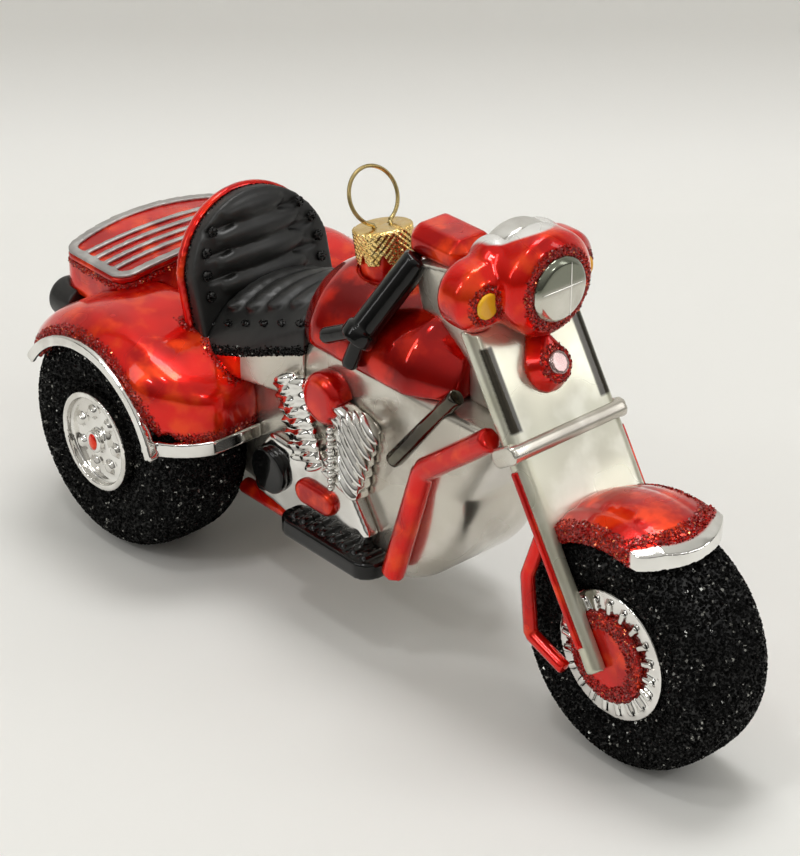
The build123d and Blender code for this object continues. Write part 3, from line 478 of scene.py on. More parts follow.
def sprinkle_tree():
    """Scatter flat square flakes over a mesh, as densely as its glitter attribute says."""
    tree = bpy.data.node_groups.new("glitter_sprinkle", "GeometryNodeTree")
    tree.interface.new_socket("Surface", in_out="INPUT", socket_type="NodeSocketGeometry")
    for title in ("Density", "Size", "Tilt", "Lift"):
        tree.interface.new_socket(title, in_out="INPUT", socket_type="NodeSocketFloat")
    tree.interface.new_socket("Seed", in_out="INPUT", socket_type="NodeSocketInt")
    tree.interface.new_socket("Flakes", in_out="OUTPUT", socket_type="NodeSocketGeometry")
    given, out = tree.nodes.new("NodeGroupInput"), tree.nodes.new("NodeGroupOutput")
    link = tree.links.new

    mask = tree.nodes.new("GeometryNodeInputNamedAttribute")
    mask.data_type = "FLOAT"
    mask.inputs["Name"].default_value = "glitter"
    density = math_node(tree, "MULTIPLY", given.outputs["Density"], mask.outputs["Attribute"])
    points = tree.nodes.new("GeometryNodeDistributePointsOnFaces")
    link(given.outputs["Surface"], points.inputs["Mesh"])
    link(density, points.inputs["Density"])
    link(given.outputs["Seed"], points.inputs["Seed"])

    rise = tree.nodes.new("ShaderNodeVectorMath")
    rise.operation = "SCALE"
    link(points.outputs["Normal"], rise.inputs[0])
    link(given.outputs["Lift"], rise.inputs["Scale"])
    lifted = tree.nodes.new("GeometryNodeSetPosition")
    link(points.outputs["Points"], lifted.inputs["Geometry"])
    link(rise.outputs[0], lifted.inputs["Offset"])

    spread = tree.nodes.new("FunctionNodeRandomValue")
    spread.data_type = "FLOAT_VECTOR"
    spread.inputs[0].default_value = (-1.0, -1.0, -1.0)
    spread.inputs[1].default_value = (1.0, 1.0, 1.0)
    limits = tree.nodes.new("ShaderNodeCombineXYZ")
    link(given.outputs["Tilt"], limits.inputs["X"])
    link(given.outputs["Tilt"], limits.inputs["Y"])
    limits.inputs["Z"].default_value = math.pi
    turn = tree.nodes.new("ShaderNodeVectorMath")
    turn.operation = "MULTIPLY"
    link(spread.outputs[0], turn.inputs[0])
    link(limits.outputs[0], turn.inputs[1])
    lean = tree.nodes.new("FunctionNodeEulerToRotation")
    link(turn.outputs[0], lean.inputs[0])
    aligned = tree.nodes.new("FunctionNodeRotateRotation")
    aligned.rotation_space = "LOCAL"
    link(points.outputs["Rotation"], aligned.inputs[0])
    link(lean.outputs[0], aligned.inputs[1])

    flake = tree.nodes.new("GeometryNodeMeshCircle")
    flake.fill_type = "NGON"
    flake.inputs["Vertices"].default_value = FLAKE_CORNERS
    link(given.outputs["Size"], flake.inputs["Radius"])
    scales = tree.nodes.new("FunctionNodeRandomValue")
    scales.inputs[2].default_value, scales.inputs[3].default_value = FLAKE_SCALES
    strewn = tree.nodes.new("GeometryNodeInstanceOnPoints")
    link(lifted.outputs[0], strewn.inputs["Points"])
    link(flake.outputs["Mesh"], strewn.inputs["Instance"])
    link(aligned.outputs[0], strewn.inputs["Rotation"])
    link(scales.outputs[1], strewn.inputs["Scale"])
    tones = tree.nodes.new("FunctionNodeRandomValue")
    tones.inputs["Seed"].default_value = TONE_SEED
    kept = tree.nodes.new("GeometryNodeStoreNamedAttribute")
    kept.data_type = "FLOAT"
    kept.domain = "INSTANCE"
    kept.inputs["Name"].default_value = "flake_tone"
    link(strewn.outputs[0], kept.inputs["Geometry"])
    link(tones.outputs[1], kept.inputs["Value"])
    joined = tree.nodes.new("GeometryNodeRealizeInstances")
    link(kept.outputs[0], joined.inputs[0])
    link(joined.outputs[0], out.inputs["Flakes"])
    return tree


SPRINKLE = sprinkle_tree()


def sprinkle(name, surface, paint, slot, seed, density, size, lift, where=None):
    """Glitter on a piece, everywhere or where a function of the place is over 0.

    The density is in flakes per mm2, and a flake's half diagonal and its lift are in mm.
    """
    flakes = new_object(name, surface.data.copy())
    mask = flakes.data.attributes.new("glitter", "FLOAT", "POINT")
    weights = [1.0 if where is None else where(vertex.co) for vertex in flakes.data.vertices]
    mask.data.foreach_set("value", weights)
    modifier = flakes.modifiers.new("sprinkle", "NODES")
    modifier.node_group = SPRINKLE
    values = {
        "Density": density / MM**2, "Size": size * MM, "Tilt": FLAKE_TILT, "Lift": lift * MM,
        "Seed": seed,
    }
    for socket in SPRINKLE.interface.items_tree:
        if socket.name in values:
            modifier[socket.identifier] = values[socket.name]
    apply_modifiers(flakes)
    dress(flakes, paint, slot)
    flakes.data.shade_flat()


# Tyres: fat balloons covered in coarse black glitter
TYRE_FLAKES = {"density": 8.0, "size": 0.34, "lift": 0.12}
FLAKE_ROOM = 0.4 * MM
TYRE_STEPS = 34
TYRE_TURNS = 96
WALL_TUCK = math.radians(38.0)
TYRE_SQUARENESS = 0.72
BELT_SHARE = 0.45


def balloon_tyre(node, wheel_node, seed):
    """A closed round section turned about the axle, inside the node's box, under its flakes."""
    low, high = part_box(node)
    wheel_low, wheel_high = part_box(wheel_node)
    middle = (low + high) / 2
    radius = (high.z - low.z) / 2 - FLAKE_ROOM
    half_width = (high.y - low.y) / 2 - FLAKE_ROOM
    rim_radius = (wheel_high.z - wheel_low.z) / 2
    belt = rim_radius + BELT_SHARE * (radius - rim_radius)
    shape = bmesh.new()
    section = []
    for step in range(TYRE_STEPS + 1):
        turn = -WALL_TUCK + (math.pi + 2 * WALL_TUCK) * step / TYRE_STEPS
        side = math.copysign(abs(math.cos(turn)) ** TYRE_SQUARENESS, math.cos(turn))
        if turn < 0 or turn > math.pi:
            reach = belt + (belt - rim_radius) * math.sin(turn) / math.sin(WALL_TUCK)
        else:
            reach = belt + (radius - belt) * math.sin(turn) ** TYRE_SQUARENESS
        section.append(shape.verts.new(middle + Vector((0.0, half_width * side, reach))))
    edges = [shape.edges.new(pair) for pair in zip(section, section[1:] + section[:1])]
    bmesh.ops.spin(
        shape, geom=section + edges, cent=middle, axis=(0, 1, 0), angle=2 * math.pi,
        steps=TYRE_TURNS, use_merge=True,
    )
    bmesh.ops.remove_doubles(shape, verts=shape.verts, dist=MERGE_DISTANCE)
    bmesh.ops.recalc_face_normals(shape, faces=shape.faces)
    tyre = dress(mesh_object(node + "_balloon", in_order(shape)), TYRE_GLUE, GLITTER, node)
    sprinkle(node + "_flakes", tyre, BLACK_FLAKES, GLITTER, seed, **TYRE_FLAKES)


balloon_tyre("rear_tyre_right", "rear_wheel_right", seed=1)
balloon_tyre("rear_tyre_left", "rear_wheel_left", seed=2)
balloon_tyre("front_tyre", "front_wheel", seed=3)

# Moulded pieces: each node softened as the blown glass is.
# Columns: node, voxel in mm, rounds of smoothing, swell in mm, paint, slot
MOULDED = (
    ("rear_wheel_right", 0.28, 4, 0.0, SILVER, GLASS),
    ("rear_wheel_left", 0.28, 4, 0.0, SILVER, GLASS),
    ("front_wheel", 0.28, 4, 0.0, SILVER, GLASS),
    ("brake_discs", 0.28, 6, 0.0, RED, LACQUER),
    ("rear_fender_right", 0.6, 90, 0.85, RED, LACQUER),
    ("rear_fender_left", 0.6, 90, 0.85, RED, LACQUER),
    ("fender_lips", 0.28, 6, 0.0, SILVER, GLASS),
    ("trunk_box", 0.45, 12, 0.1, RED, LACQUER),
    ("trunk_lid", 0.4, 6, 0.1, RED, LACQUER),
    ("lid_ribs", 0.28, 5, 0.0, GREY_PAINT, GLASS),
    ("tail_pods", 0.35, 14, 0.0, SATIN_BLACK, SATIN),
    ("fuel_tank", 0.45, 40, 0.2, DEEP_RED, LACQUER),
    ("glass_body", 0.6, 14, 0.0, PEARL, GLASS),
    ("steering_head", 0.45, 10, 0.1, PEARL, GLASS),
    ("fork_stripes", 0.25, 4, 0.1, RED, LACQUER),
    ("fork_clamp", 0.3, 12, 0.15, PEARL, GLASS),
    ("fork_stays", 0.28, 6, 0.15, RED, LACQUER),
    ("headlamp_dome", 0.35, 30, 0.2, SILVER, GLASS),
    ("headlamp_lens", 0.25, 8, 0.2, LENS_MIRROR, GLASS),
    ("signal_lenses", 0.2, 4, 0.2, YELLOW, SIGNAL),
    ("lower_lamp", 0.25, 16, 0.25, RED, LACQUER),
    ("lower_lamp_lens", 0.2, 6, 0.2, ROSE_MIRROR, GLASS),
    ("console", 0.3, 6, 0.15, RED, LACQUER),
    ("handlebar_right", 0.3, 10, 0.25, GLOSS_BLACK, GLOSS),
    ("handlebar_left", 0.3, 10, 0.25, GLOSS_BLACK, GLOSS),
    ("seat_shell", 0.4, 8, 0.15, RED, LACQUER),
    ("crankcase", 0.4, 12, 0.15, SILVER, GLASS),
    ("air_cleaner", 0.3, 20, 0.2, RED, LACQUER),
    ("clutch_covers", 0.3, 10, 0.15, GLOSS_BLACK, GLOSS),
    ("cam_covers", 0.25, 8, 0.15, RED, LACQUER),
    ("footboard_right", 0.3, 6, 0.15, GLOSS_BLACK, GLOSS),
    ("footboard_left", 0.3, 6, 0.15, GLOSS_BLACK, GLOSS),
    ("crash_bars", 0.35, 10, 0.2, RED, LACQUER),
    # The downtubes carry painted shade for their recessed slits
    ("downtubes", 0.3, 10, 0.0, SLIT_SHADE_MIRROR, GLASS),
    ("lower_rails", 0.35, 8, 0.1, RED, LACQUER),
    ("cap_neck", 0.25, 3, 0.0, RED, LACQUER),
)
for node, voxel, rounds, swell, paint, slot in MOULDED:
    mould(node, cad_shape(node), voxel, rounds, paint, slot, swell)

# Lamp nacelle: smooth lobes that flow into each other, with a silver crown
NACELLE_BRIDGES = ((85.0, 6.6, 80.8), (84.0, 5.2, 84.4))
BRIDGE_SIZE = (5.6, 4.4, 5.4)
CROWN_REAR, CROWN_FRONT, CROWN_BOW = 60.0, 90.6, 0.11
CROWN_FOOT, CROWN_TOP, CROWN_HALF_WIDTH = 82.8, 99.0, 7.4
nacelle = cad_shape("lamp_nacelle")
for bridge in NACELLE_BRIDGES:
    for middle in both_sides(place(*bridge)):
        add_ball(nacelle, middle, BRIDGE_SIZE)
mould("lamp_nacelle", nacelle, 0.35, 44, RED, LACQUER)


def crown(point):
    """The silver crown behind the headlamp's flange: it starts further back at the sides."""
    station, y, height = station_of(point)
    lengthwise = band(station, CROWN_REAR, CROWN_FRONT - CROWN_BOW * y * y, fade=0.5)
    upright = band(height, CROWN_FOOT, CROWN_TOP, fade=0.6)
    return lengthwise * upright * band(abs(y), -1.0, CROWN_HALF_WIDTH, fade=0.6)


paint_over(moulded["lamp_nacelle"], crown)

# Front fender: its lip loses its hanging edge, and its top carries a raised panel
LIP_FOOT = 44.2
front_lip = cad_shape("front_fender_lip")
trimmed = bmesh.ops.bisect_plane(
    front_lip, geom=whole(front_lip), plane_co=place(0.0, 0.0, LIP_FOOT),
    plane_no=(0.0, 0.0, 1.0), clear_inner=True,
)
lip_rim = only(bmesh.types.BMEdge, trimmed["geom_cut"])
bmesh.ops.holes_fill(front_lip, edges=lip_rim, sides=0)
mould("front_fender_lip", front_lip, 0.2, 5, SILVER, GLASS)

PANEL_RADIUS = 25.6
PANEL_ANGLES = range(-28, 13, 4)
PANEL_BALL = (2.4, 5.4, 1.1)
front_fender = cad_shape("front_fender")
for angle in PANEL_ANGLES:
    lean = math.radians(angle)
    middle = FRONT_AXLE + Vector((math.sin(lean), 0.0, math.cos(lean))) * PANEL_RADIUS * MM
    add_ball(front_fender, middle, PANEL_BALL, Matrix.Rotation(lean, 3, "Y"))
mould("front_fender", front_fender, 0.35, 10, RED, LACQUER, swell=0.1)

# Headlamp lens: painted shade darkens it above its middle, with two thin silver lines across its
# face
LENS_SHADE_FOOT, LENS_SHADE_TOP = 0.6, 9.0
LINE_PROUD, LINE_HALF, LINE_REACH = 0.2 * MM, 0.16, 5.2
LEVEL_LINE_UP, UPRIGHT_LINE_Y = 0.6 * MM, 1.6 * MM
lens_low, lens_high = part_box("headlamp_lens")
lens_middle = (lens_low + lens_high) / 2


def painted_lens_shade(point):
    """The upper part of the headlamp lens, darkened with painted shade."""
    return band((point.z - lens_middle.z) / MM, LENS_SHADE_FOOT, LENS_SHADE_TOP, fade=1.6)


paint_over(moulded["headlamp_lens"], painted_lens_shade)
lens_lines = bmesh.new()
lens_face = lens_high.x + LINE_PROUD
level_middle = Vector((lens_face, 0.0, lens_middle.z + LEVEL_LINE_UP))
add_ball(lens_lines, level_middle, (LINE_HALF, LINE_REACH, LINE_HALF))
upright_middle = Vector((lens_face, UPRIGHT_LINE_Y, lens_middle.z))
add_ball(lens_lines, upright_middle, (LINE_HALF, LINE_HALF, LINE_REACH))
dress(mesh_object("headlamp_lens_lines", in_order(lens_lines)), SILVER, GLASS)

# Fork: its grooves are filled flush, and the upper legs have slots of painted shade between pale
# edges
FORK_TOP = place(85.5, 0.0, 75.0)
FORK_RUN = (FRONT_AXLE - FORK_TOP).normalized()
FORK_FACE = Vector((-FORK_RUN.z, 0.0, FORK_RUN.x))
FORK_TURN = Matrix((FORK_RUN, Vector((0.0, 1.0, 0.0)), FORK_FACE)).transposed()
GROOVE_Y, GROOVE_LENGTH, GROOVE_WIDTH, GROOVE_DEPTH = 6.4, 23.0, 3.6, 2.0
CLAMP_TOP, LEG_TOP, LEG_Y, SLOT_HALF_WIDTH = 58.4, 71.6, 10.7, 1.25
groove_size = Matrix.Diagonal((GROOVE_LENGTH * MM, GROOVE_WIDTH * MM, GROOVE_DEPTH * MM, 1.0))
groove_middle = FORK_TOP + FORK_RUN * GROOVE_LENGTH / 2 * MM - FORK_FACE * GROOVE_DEPTH / 2 * MM
groove_middle.y = GROOVE_Y * MM
fork = cad_shape("fork")
for middle in both_sides(groove_middle):
    fill = Matrix.Translation(middle) @ FORK_TURN.to_4x4() @ groove_size
    bmesh.ops.create_cube(fork, size=1.0, matrix=fill)
mould("fork", fork, 0.36, 6, CREAM, GLASS)


def painted_slot_shade(point):
    """The slot of painted shade along each upper leg, from the clamp to the leg's top."""
    side = abs(point.y) / MM
    sideways = band(side, LEG_Y - SLOT_HALF_WIDTH, LEG_Y + SLOT_HALF_WIDTH, fade=0.2)
    return sideways * band(point.z / MM, CLAMP_TOP, LEG_TOP, fade=0.3)


paint_over(moulded["fork"], painted_slot_shade)

# Engine: rounded discs at the rear, slanted waves on the front cylinder, and a chain of beads
STACK_TOP, STACK_FOOT, STACK_COUNT = place(38.9, 15.4, 48.0), place(47.4, 15.4, 32.8), 9
DISC_SIZE = (2.9, 2.0, 1.0)
rear_cylinder = softened("rear_cylinder", voxel=0.4, rounds=30)
stack_run = STACK_FOOT - STACK_TOP
stack_turn = Matrix.Rotation(math.atan2(-stack_run.z, stack_run.x) - math.pi / 2, 3, "Y")
for middle in along(STACK_TOP, STACK_FOOT, STACK_COUNT):
    add_ball(rear_cylinder, middle, DISC_SIZE, stack_turn)
mould("rear_cylinder", rear_cylinder, 0.25, 5, SILVER, GLASS, ending="_discs")

WAVE_TURN = Matrix.Rotation(math.radians(49.0), 3, "Y")
WAVE_Y, WAVE_BULGE, WAVE_HALF_THICKNESS = 16.2, 1.5, 0.8
# Columns: station and height of the wave's middle, half length
WAVES = (
    (57.2, 33.2, 3.2), (57.6, 35.8, 4.2), (58.0, 38.4, 5.2), (58.6, 40.8, 5.8),
    (59.4, 43.0, 5.8), (60.6, 45.0, 5.2), (62.0, 46.6, 4.4), (63.6, 47.8, 3.4),
)
front_cylinder = softened("front_cylinder", voxel=0.4, rounds=30)
for station, height, half_length in WAVES:
    for middle in both_sides(place(station, WAVE_Y, height)):
        wave_size = (half_length, WAVE_BULGE, WAVE_HALF_THICKNESS)
        add_ball(front_cylinder, middle, wave_size, WAVE_TURN)
mould("front_cylinder", front_cylinder, 0.25, 5, SILVER, GLASS, ending="_waves")

BEAD_TOP, BEAD_FOOT, BEAD_COUNT = place(53.4, 17.0, 43.4), place(53.6, 17.0, 31.5), 9
BEAD_RADIUS = 0.75
beads = bmesh.new()
for middle in along(BEAD_TOP, BEAD_FOOT, BEAD_COUNT):
    add_ball(beads, middle, (BEAD_RADIUS,) * 3, segments=12)
dress(mesh_object("engine_beads", in_order(beads)), SILVER, GLASS)

# Hub dots of red lacquer
HUB_DOT = (1.3, 0.45, 1.8)
hub_dots = bmesh.new()
for hub_face in (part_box("rear_wheel_right")[0].y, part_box("rear_wheel_left")[1].y):
    add_ball(hub_dots, Vector((REAR_AXLE.x, hub_face, REAR_AXLE.z)), HUB_DOT, segments=16)
dress(mesh_object("hub_dots", in_order(hub_dots)), RED, LACQUER)

# Seat: rolls across the back and pleats across the cushion, in satin black
BACK_FOOT = place(14.5, 0.0, 53.5)
BACK_LEAN = math.radians(13.5)
BACK_UP = Vector((-math.sin(BACK_LEAN), 0.0, math.cos(BACK_LEAN)))
BACK_OUT = Vector((math.cos(BACK_LEAN), 0.0, math.sin(BACK_LEAN)))
BACK_TURN = Matrix.Rotation(-BACK_LEAN, 3, "Y")
# Columns: height up the back, half length across, half height, bulge
ROLLS = (
    (1.8, 10.6, 2.7, 1.9), (6.4, 10.8, 2.7, 1.9), (10.9, 10.2, 2.6, 1.8), (15.2, 7.4, 2.3, 1.5),
)
seat_back = cad_shape("seat_back")
for rise, half_length, half_height, bulge in ROLLS:
    roll_size = (bulge, half_length, half_height)
    add_ball(seat_back, BACK_FOOT + BACK_UP * rise * MM, roll_size, BACK_TURN)
mould("seat_back", seat_back, 0.35, 14, SATIN_BLACK, SATIN, swell=0.1, ending="_rolls")

CREST_REAR, CREST_FRONT = place(10.5, 0.0, 53.6), place(41.5, 0.0, 63.2)
CREST_RISE = math.atan2(CREST_FRONT.z - CREST_REAR.z, CREST_FRONT.x - CREST_REAR.x)
CREST_TURN = Matrix.Rotation(-CREST_RISE, 3, "Y")
CREST_CROWN = 19.5


def crest_place(share, y):
    """A place on the cushion's rounded top, at a share of its length and a side distance in mm."""
    fall = CREST_CROWN - math.sqrt(CREST_CROWN**2 - y**2)
    return CREST_REAR.lerp(CREST_FRONT, share) + Vector((0.0, y * MM, -fall * MM))


# Columns: share of the crest, half length across
PLEATS = ((0.24, 9.6), (0.42, 9.4), (0.60, 8.6), (0.78, 7.6))
PLEAT_STEPS = 9
PLEAT_BALL = (2.3, 2.6, 1.0)
seat_cushion = cad_shape("seat_cushion")
for share, half_length in PLEATS:
    for step in range(PLEAT_STEPS):
        y = half_length * (2 * step / (PLEAT_STEPS - 1) - 1)
        add_ball(seat_cushion, crest_place(share, y), PLEAT_BALL, CREST_TURN)
cushion_pleats = melt("seat_cushion_pleats", seat_cushion, 0.4, 14, swell=0.1)

# The lower side of the cushion is painted as body: red at the rear, silver at the front
SKIRT_TOP, SKIRT_FACING = place(22.0, 0.0, 46.4), Vector((-0.31, 0.0, 0.95))
SKIRT_SPLIT, FORWARDS = place(27.2, 0.0, 0.0), Vector((1.0, 0.0, 0.0))
seat_skirt = cut_off(cushion_pleats, "seat_skirt_silver", SKIRT_TOP, SKIRT_FACING)
dress(cut_off(seat_skirt, "seat_skirt_red", SKIRT_SPLIT, FORWARDS), RED, LACQUER)
dress(seat_skirt, PEARL, GLASS)
moulded["seat_cushion"] = dress(cushion_pleats, SATIN_BLACK, SATIN, "seat_cushion")

# Rosettes of black glitter round the seat. Columns: height up the back, side distance
BACK_ROSETTES = ((1.2, 13.6), (5.4, 13.6), (9.6, 12.8), (13.2, 10.6))
BACK_ROSETTE_SIZE, BACK_ROSETTE_PROUD = (0.35, 1.0, 1.0), 0.6
CUSHION_ROSETTES, CUSHION_ROSETTE_SIZE = 6, (1.0, 0.9, 0.4)
ROW_START, ROW_LENGTH, ROW_Y, ROW_TAPER = 0.14, 0.8, 14.0, 2.0
rosettes = bmesh.new()
for side in (-1, 1):
    for rise, y in BACK_ROSETTES:
        middle = BACK_FOOT + BACK_UP * rise * MM + BACK_OUT * BACK_ROSETTE_PROUD * MM
        middle.y = side * y * MM
        add_ball(rosettes, middle, BACK_ROSETTE_SIZE, BACK_TURN, segments=12)
    for number in range(CUSHION_ROSETTES):
        share = ROW_START + ROW_LENGTH * number / (CUSHION_ROSETTES - 1)
        middle = crest_place(share, side * (ROW_Y - ROW_TAPER * share))
        add_ball(rosettes, middle, CUSHION_ROSETTE_SIZE, segments=12)
rosette_mesh = mesh_object("seat_rosettes", in_order(rosettes))
moulded["rosettes"] = dress(rosette_mesh, SATIN_BLACK, SATIN)

# Cap of embossed foil, and its wire loop
NECK_FOOT, NECK_LEAN = place(52.0, 0.0, 62.0), math.radians(12.5)
CAP_AXIS = Vector((-math.sin(NECK_LEAN), 0.0, math.cos(NECK_LEAN)))
CAP_SIDE = Vector((math.cos(NECK_LEAN), 0.0, math.sin(NECK_LEAN)))
NUB_COUNT, NUB_PITCH, NUB_HEIGHT, CAP_OUTSIDE = 28, 1.25 * MM, 0.26 * MM, 5.3 * MM
cap = melt("hanger_cap_foil", cad_shape("hanger_cap"), voxel=0.14, rounds=1)
for vertex in cap.data.vertices:
    arm = vertex.co - NECK_FOOT
    rise = arm.dot(CAP_AXIS)
    spoke = arm - CAP_AXIS * rise
    if spoke.length > CAP_OUTSIDE:
        turn = math.atan2(spoke.y, spoke.dot(CAP_SIDE))
        nub = math.cos(NUB_COUNT * turn) * math.cos(2 * math.pi * rise / NUB_PITCH)
        crumple = noise.noise(vertex.co / NUB_PITCH)
        vertex.co += vertex.normal * (nub + crumple) * NUB_HEIGHT / 2
dress(cap, GOLD, CAP_FOIL, "hanger_cap", body=HANGER)
loop = mesh_object("hanger_loop", cad_shape("hanger_wire"))
dress(loop, BRASS, LOOP_WIRE, "hanger_wire", body=HANGER)

# Glitter on edges and round the lamps
EDGE_FLAKES = {"density": 13.0, "size": 0.24, "lift": 0.08}
EDGE_FADE = 0.4
DISC_RING = (5.4, 8.8)
FENDER_SIDE = (8.9, 13.0)
CUSHION_HEM = (-1.0, 1.6)
ROSETTE_COVER = 0.6


def near(reach, *names):
    """A mask that is 1 within a distance of some nodes, in mm."""
    shape = cad_shape(*names)
    tree = BVHTree.FromBMesh(shape)
    shape.free()

    def mask(point):
        """How far a place is within the distance."""
        distance = tree.find_nearest(point, (reach + 1.0) * MM)[3]
        return 0.0 if distance is None else band(distance / MM, -1.0, reach, EDGE_FADE)

    return mask


def either(*masks):
    """A mask that is the larger of some masks."""
    return lambda point: max(mask(point) for mask in masks)


def disc_ring(point):
    """The outer ring of the brake discs."""
    arm = point - FRONT_AXLE
    return band(math.hypot(arm.x, arm.z) / MM, *DISC_RING, EDGE_FADE)


def fender_side(point):
    """The two long edges of the front fender."""
    return band(abs(point.y) / MM, *FENDER_SIDE, EDGE_FADE)


def cushion_hem(point):
    """The hem along the lower edge of the seat cushion."""
    return band((point - SKIRT_TOP).dot(SKIRT_FACING) / MM, *CUSHION_HEM, EDGE_FADE)


fender_edge = either(near(1.7, "fender_lips"), near(1.2, "seat_cushion", "seat_shell"))
# Columns: piece, mask
RED_GLITTER = (
    ("rear_fender_right", fender_edge),
    ("rear_fender_left", fender_edge),
    ("lamp_nacelle", either(near(1.9, "headlamp_lens"), near(1.5, "signal_lenses"))),
    ("lower_lamp", near(1.5, "lower_lamp_lens")),
    ("brake_discs", disc_ring),
    ("front_fender", either(near(2.0, "front_fender_lip"), fender_side)),
    ("front_fender_lip", near(1.0, "front_fender")),
    ("trunk_box", near(0.9, "trunk_lid")),
)
BLACK_GLITTER = (
    ("seat_back", near(0.9, "seat_shell")),
    ("rosettes", lambda point: ROSETTE_COVER),
    ("seat_cushion", cushion_hem),
)
RED_SEED, BLACK_SEED = 20, 40
paint_over(moulded["front_fender_lip"], near(1.1, "front_fender"))
for seed, (name, mask) in enumerate(RED_GLITTER, start=RED_SEED):
    sprinkle(
        name + "_glitter", moulded[name], RED_FLAKES, LACQUER, seed, where=mask, **EDGE_FLAKES,
    )
for seed, (name, mask) in enumerate(BLACK_GLITTER, start=BLACK_SEED):
    sprinkle(
        name + "_glitter", moulded[name], BLACK_FLAKES, GLITTER, seed, where=mask, **EDGE_FLAKES,
    )

# Thin out the smooth meshes that carry no second paint, now that the glitter lies on them
KEPT_SHARE, THINNED_OVER = 0.33, 2000
for piece in (*moulded.values(), cap):
    if "over_paint" not in piece.data.attributes and len(piece.data.polygons) > THINNED_OVER:
        thin = piece.modifiers.new("thin", "DECIMATE")
        thin.ratio = KEPT_SHARE
        apply_modifiers(piece)

# Stage: a paper sweep that lies flat under the trike and curves up behind it
VIEW_AZIMUTH = math.radians(48.68)
VIEW_ELEVATION = math.radians(29.39)
SWEEP_START, SWEEP_RADIUS, SWEEP_STEPS = 0.178, 0.035, 16
SWEEP_HALF_WIDTH, SWEEP_FRONT, SWEEP_TOP = 1.6, 1.6, 1.2
away = Vector((-math.sin(VIEW_AZIMUTH), math.cos(VIEW_AZIMUTH), 0.0))
across = Vector((math.cos(VIEW_AZIMUTH), math.sin(VIEW_AZIMUTH), 0.0))
up = Vector((0.0, 0.0, 1.0))
sweep_shape = bmesh.new()
flat_edge, bend_edge = (
    [sweep_shape.verts.new(across * side * SWEEP_HALF_WIDTH + away * depth) for side in (-1, 1)]
    for depth in (-SWEEP_FRONT, SWEEP_START)
)
sweep_shape.faces.new((*flat_edge, *reversed(bend_edge)))
spun = bmesh.ops.spin(
    sweep_shape, geom=[*bend_edge, sweep_shape.edges.get(bend_edge)],
    cent=away * SWEEP_START + up * SWEEP_RADIUS, axis=across, angle=math.pi / 2, steps=SWEEP_STEPS,
)
top_edge = only(bmesh.types.BMEdge, spun["geom_last"])
risen = bmesh.ops.extrude_edge_only(sweep_shape, edges=top_edge)
risen_corners = only(bmesh.types.BMVert, risen["geom"])
bmesh.ops.translate(sweep_shape, verts=risen_corners, vec=up * SWEEP_TOP)
bmesh.ops.recalc_face_normals(sweep_shape, faces=sweep_shape.faces)
if sum(face.normal.z for face in sweep_shape.faces) < 0:
    bmesh.ops.reverse_faces(sweep_shape, faces=sweep_shape.faces)
sweep = mesh_object("paper_sweep", sweep_shape)
sweep.data.shade_smooth()

# The paper is clear from its back, so that views from behind see the trike
PAPER = plain_material("paper", {"Base Color": (0.80, 0.795, 0.765, 1.0), "Roughness": 0.6})
paper_tree = PAPER.node_tree
facing = paper_tree.nodes.new("ShaderNodeNewGeometry")
clear = paper_tree.nodes.new("ShaderNodeBsdfTransparent")
one_sided = paper_tree.nodes.new("ShaderNodeMixShader")
paper_tree.links.new(facing.outputs["Backfacing"], one_sided.inputs[0])
paper_tree.links.new(paper_tree.nodes["Principled BSDF"].outputs[0], one_sided.inputs[1])
paper_tree.links.new(clear.outputs[0], one_sided.inputs[2])
paper_tree.links.new(one_sided.outputs[0], paper_tree.nodes["Material Output"].inputs["Surface"])
sweep.data.materials.append(PAPER)

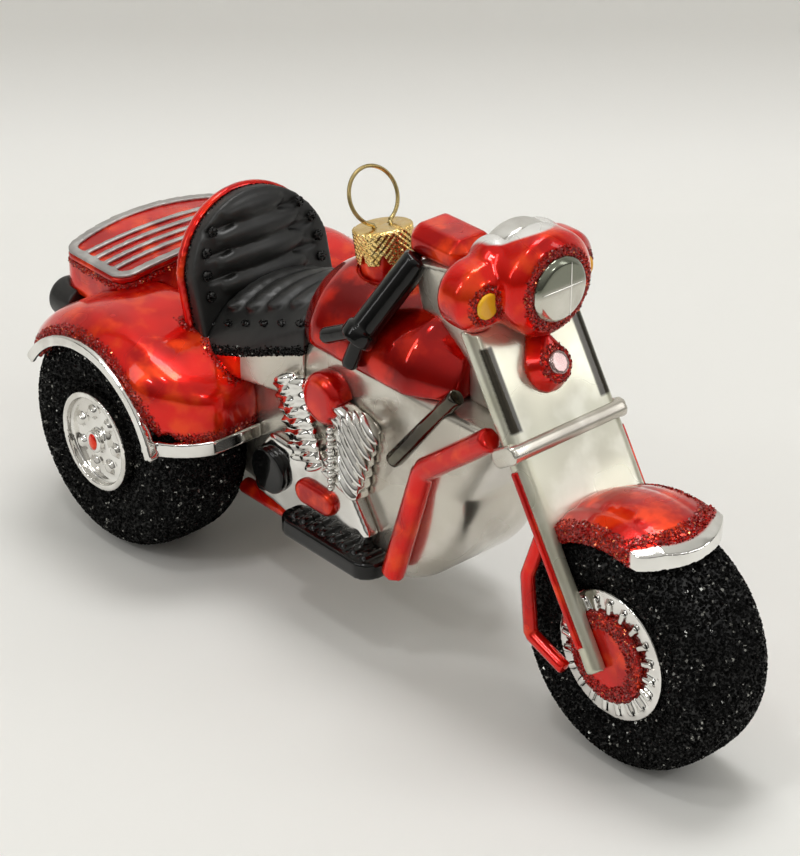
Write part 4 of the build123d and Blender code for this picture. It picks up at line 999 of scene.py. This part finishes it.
# Lamps: softboxes that point at the trike. Columns: name, place across, away and up in metres,
# width, height, power
LAMP_TARGET = Vector((0.0, 0.0, 0.04))
LAMPS = (
    ("overhead_softbox", 0.05, 0.12, 0.75, 0.30, 0.22, 2.0),
    ("left_strip", -0.7, -0.25, 0.5, 0.12, 0.5, 0.7),
    ("right_strip", 0.75, -0.1, 0.45, 0.12, 0.5, 0.7),
    ("high_glint", -0.12, -0.15, 0.6, 0.07, 0.05, 0.3),
    ("left_glint", -0.45, -0.3, 0.5, 0.07, 0.05, 0.3),
    ("right_glint", 0.4, -0.35, 0.45, 0.07, 0.05, 0.25),
)
for name, sideways, depth, rise, width, height, power in LAMPS:
    lamp_data = bpy.data.lights.new(name, "AREA")
    lamp_data.shape = "RECTANGLE"
    lamp_data.size, lamp_data.size_y = width, height
    lamp_data.energy = power
    lamp = new_object(name, lamp_data)
    lamp.location = across * sideways + away * depth + up * rise
    lamp.rotation_euler = (LAMP_TARGET - lamp.location).to_track_quat("-Z", "Y").to_euler()

# Room: dark near the floor and pale overhead, as the mirrors show it
ROOM_DARK, ROOM_PALE = (0.08, 0.075, 0.07), (0.60, 0.59, 0.56)
PALE_FROM, PALE_FULL = 0.05, 0.8
world = bpy.data.worlds.new("room")
bpy.context.scene.world = world
world.use_nodes = True
room = world.node_tree
ray = room.nodes.new("ShaderNodeSeparateXYZ")
room.links.new(room.nodes.new("ShaderNodeTexCoord").outputs["Generated"], ray.inputs[0])
ceiling = range_node(room, ray.outputs["Z"], PALE_FROM, PALE_FULL)
room_tone = mix_node(room, ceiling, ROOM_DARK, ROOM_PALE)
room.links.new(room_tone, room.nodes["Background"].inputs["Color"])
room.nodes["Background"].inputs["Strength"].default_value = 1.0

# Camera: found by fitting the wheels, the axles and the lamp to the photograph
SENSOR_SIZE = 36.0
FOCAL_PIXELS, FRAME_PIXELS = 2790, 856
camera_data = bpy.data.cameras.new("camera")
camera = new_object("camera", camera_data)
camera.location = place(393.4, -298.9, 292.6)
towards = away * math.cos(VIEW_ELEVATION) - up * math.sin(VIEW_ELEVATION)
camera.rotation_euler = towards.to_track_quat("-Z", "Y").to_euler()
camera_data.sensor_width = SENSOR_SIZE
camera_data.lens = SENSOR_SIZE * FOCAL_PIXELS / FRAME_PIXELS
camera_data.clip_start = 0.01
bpy.context.scene.camera = camera
bpy.context.scene.view_settings.view_transform = "Standard"
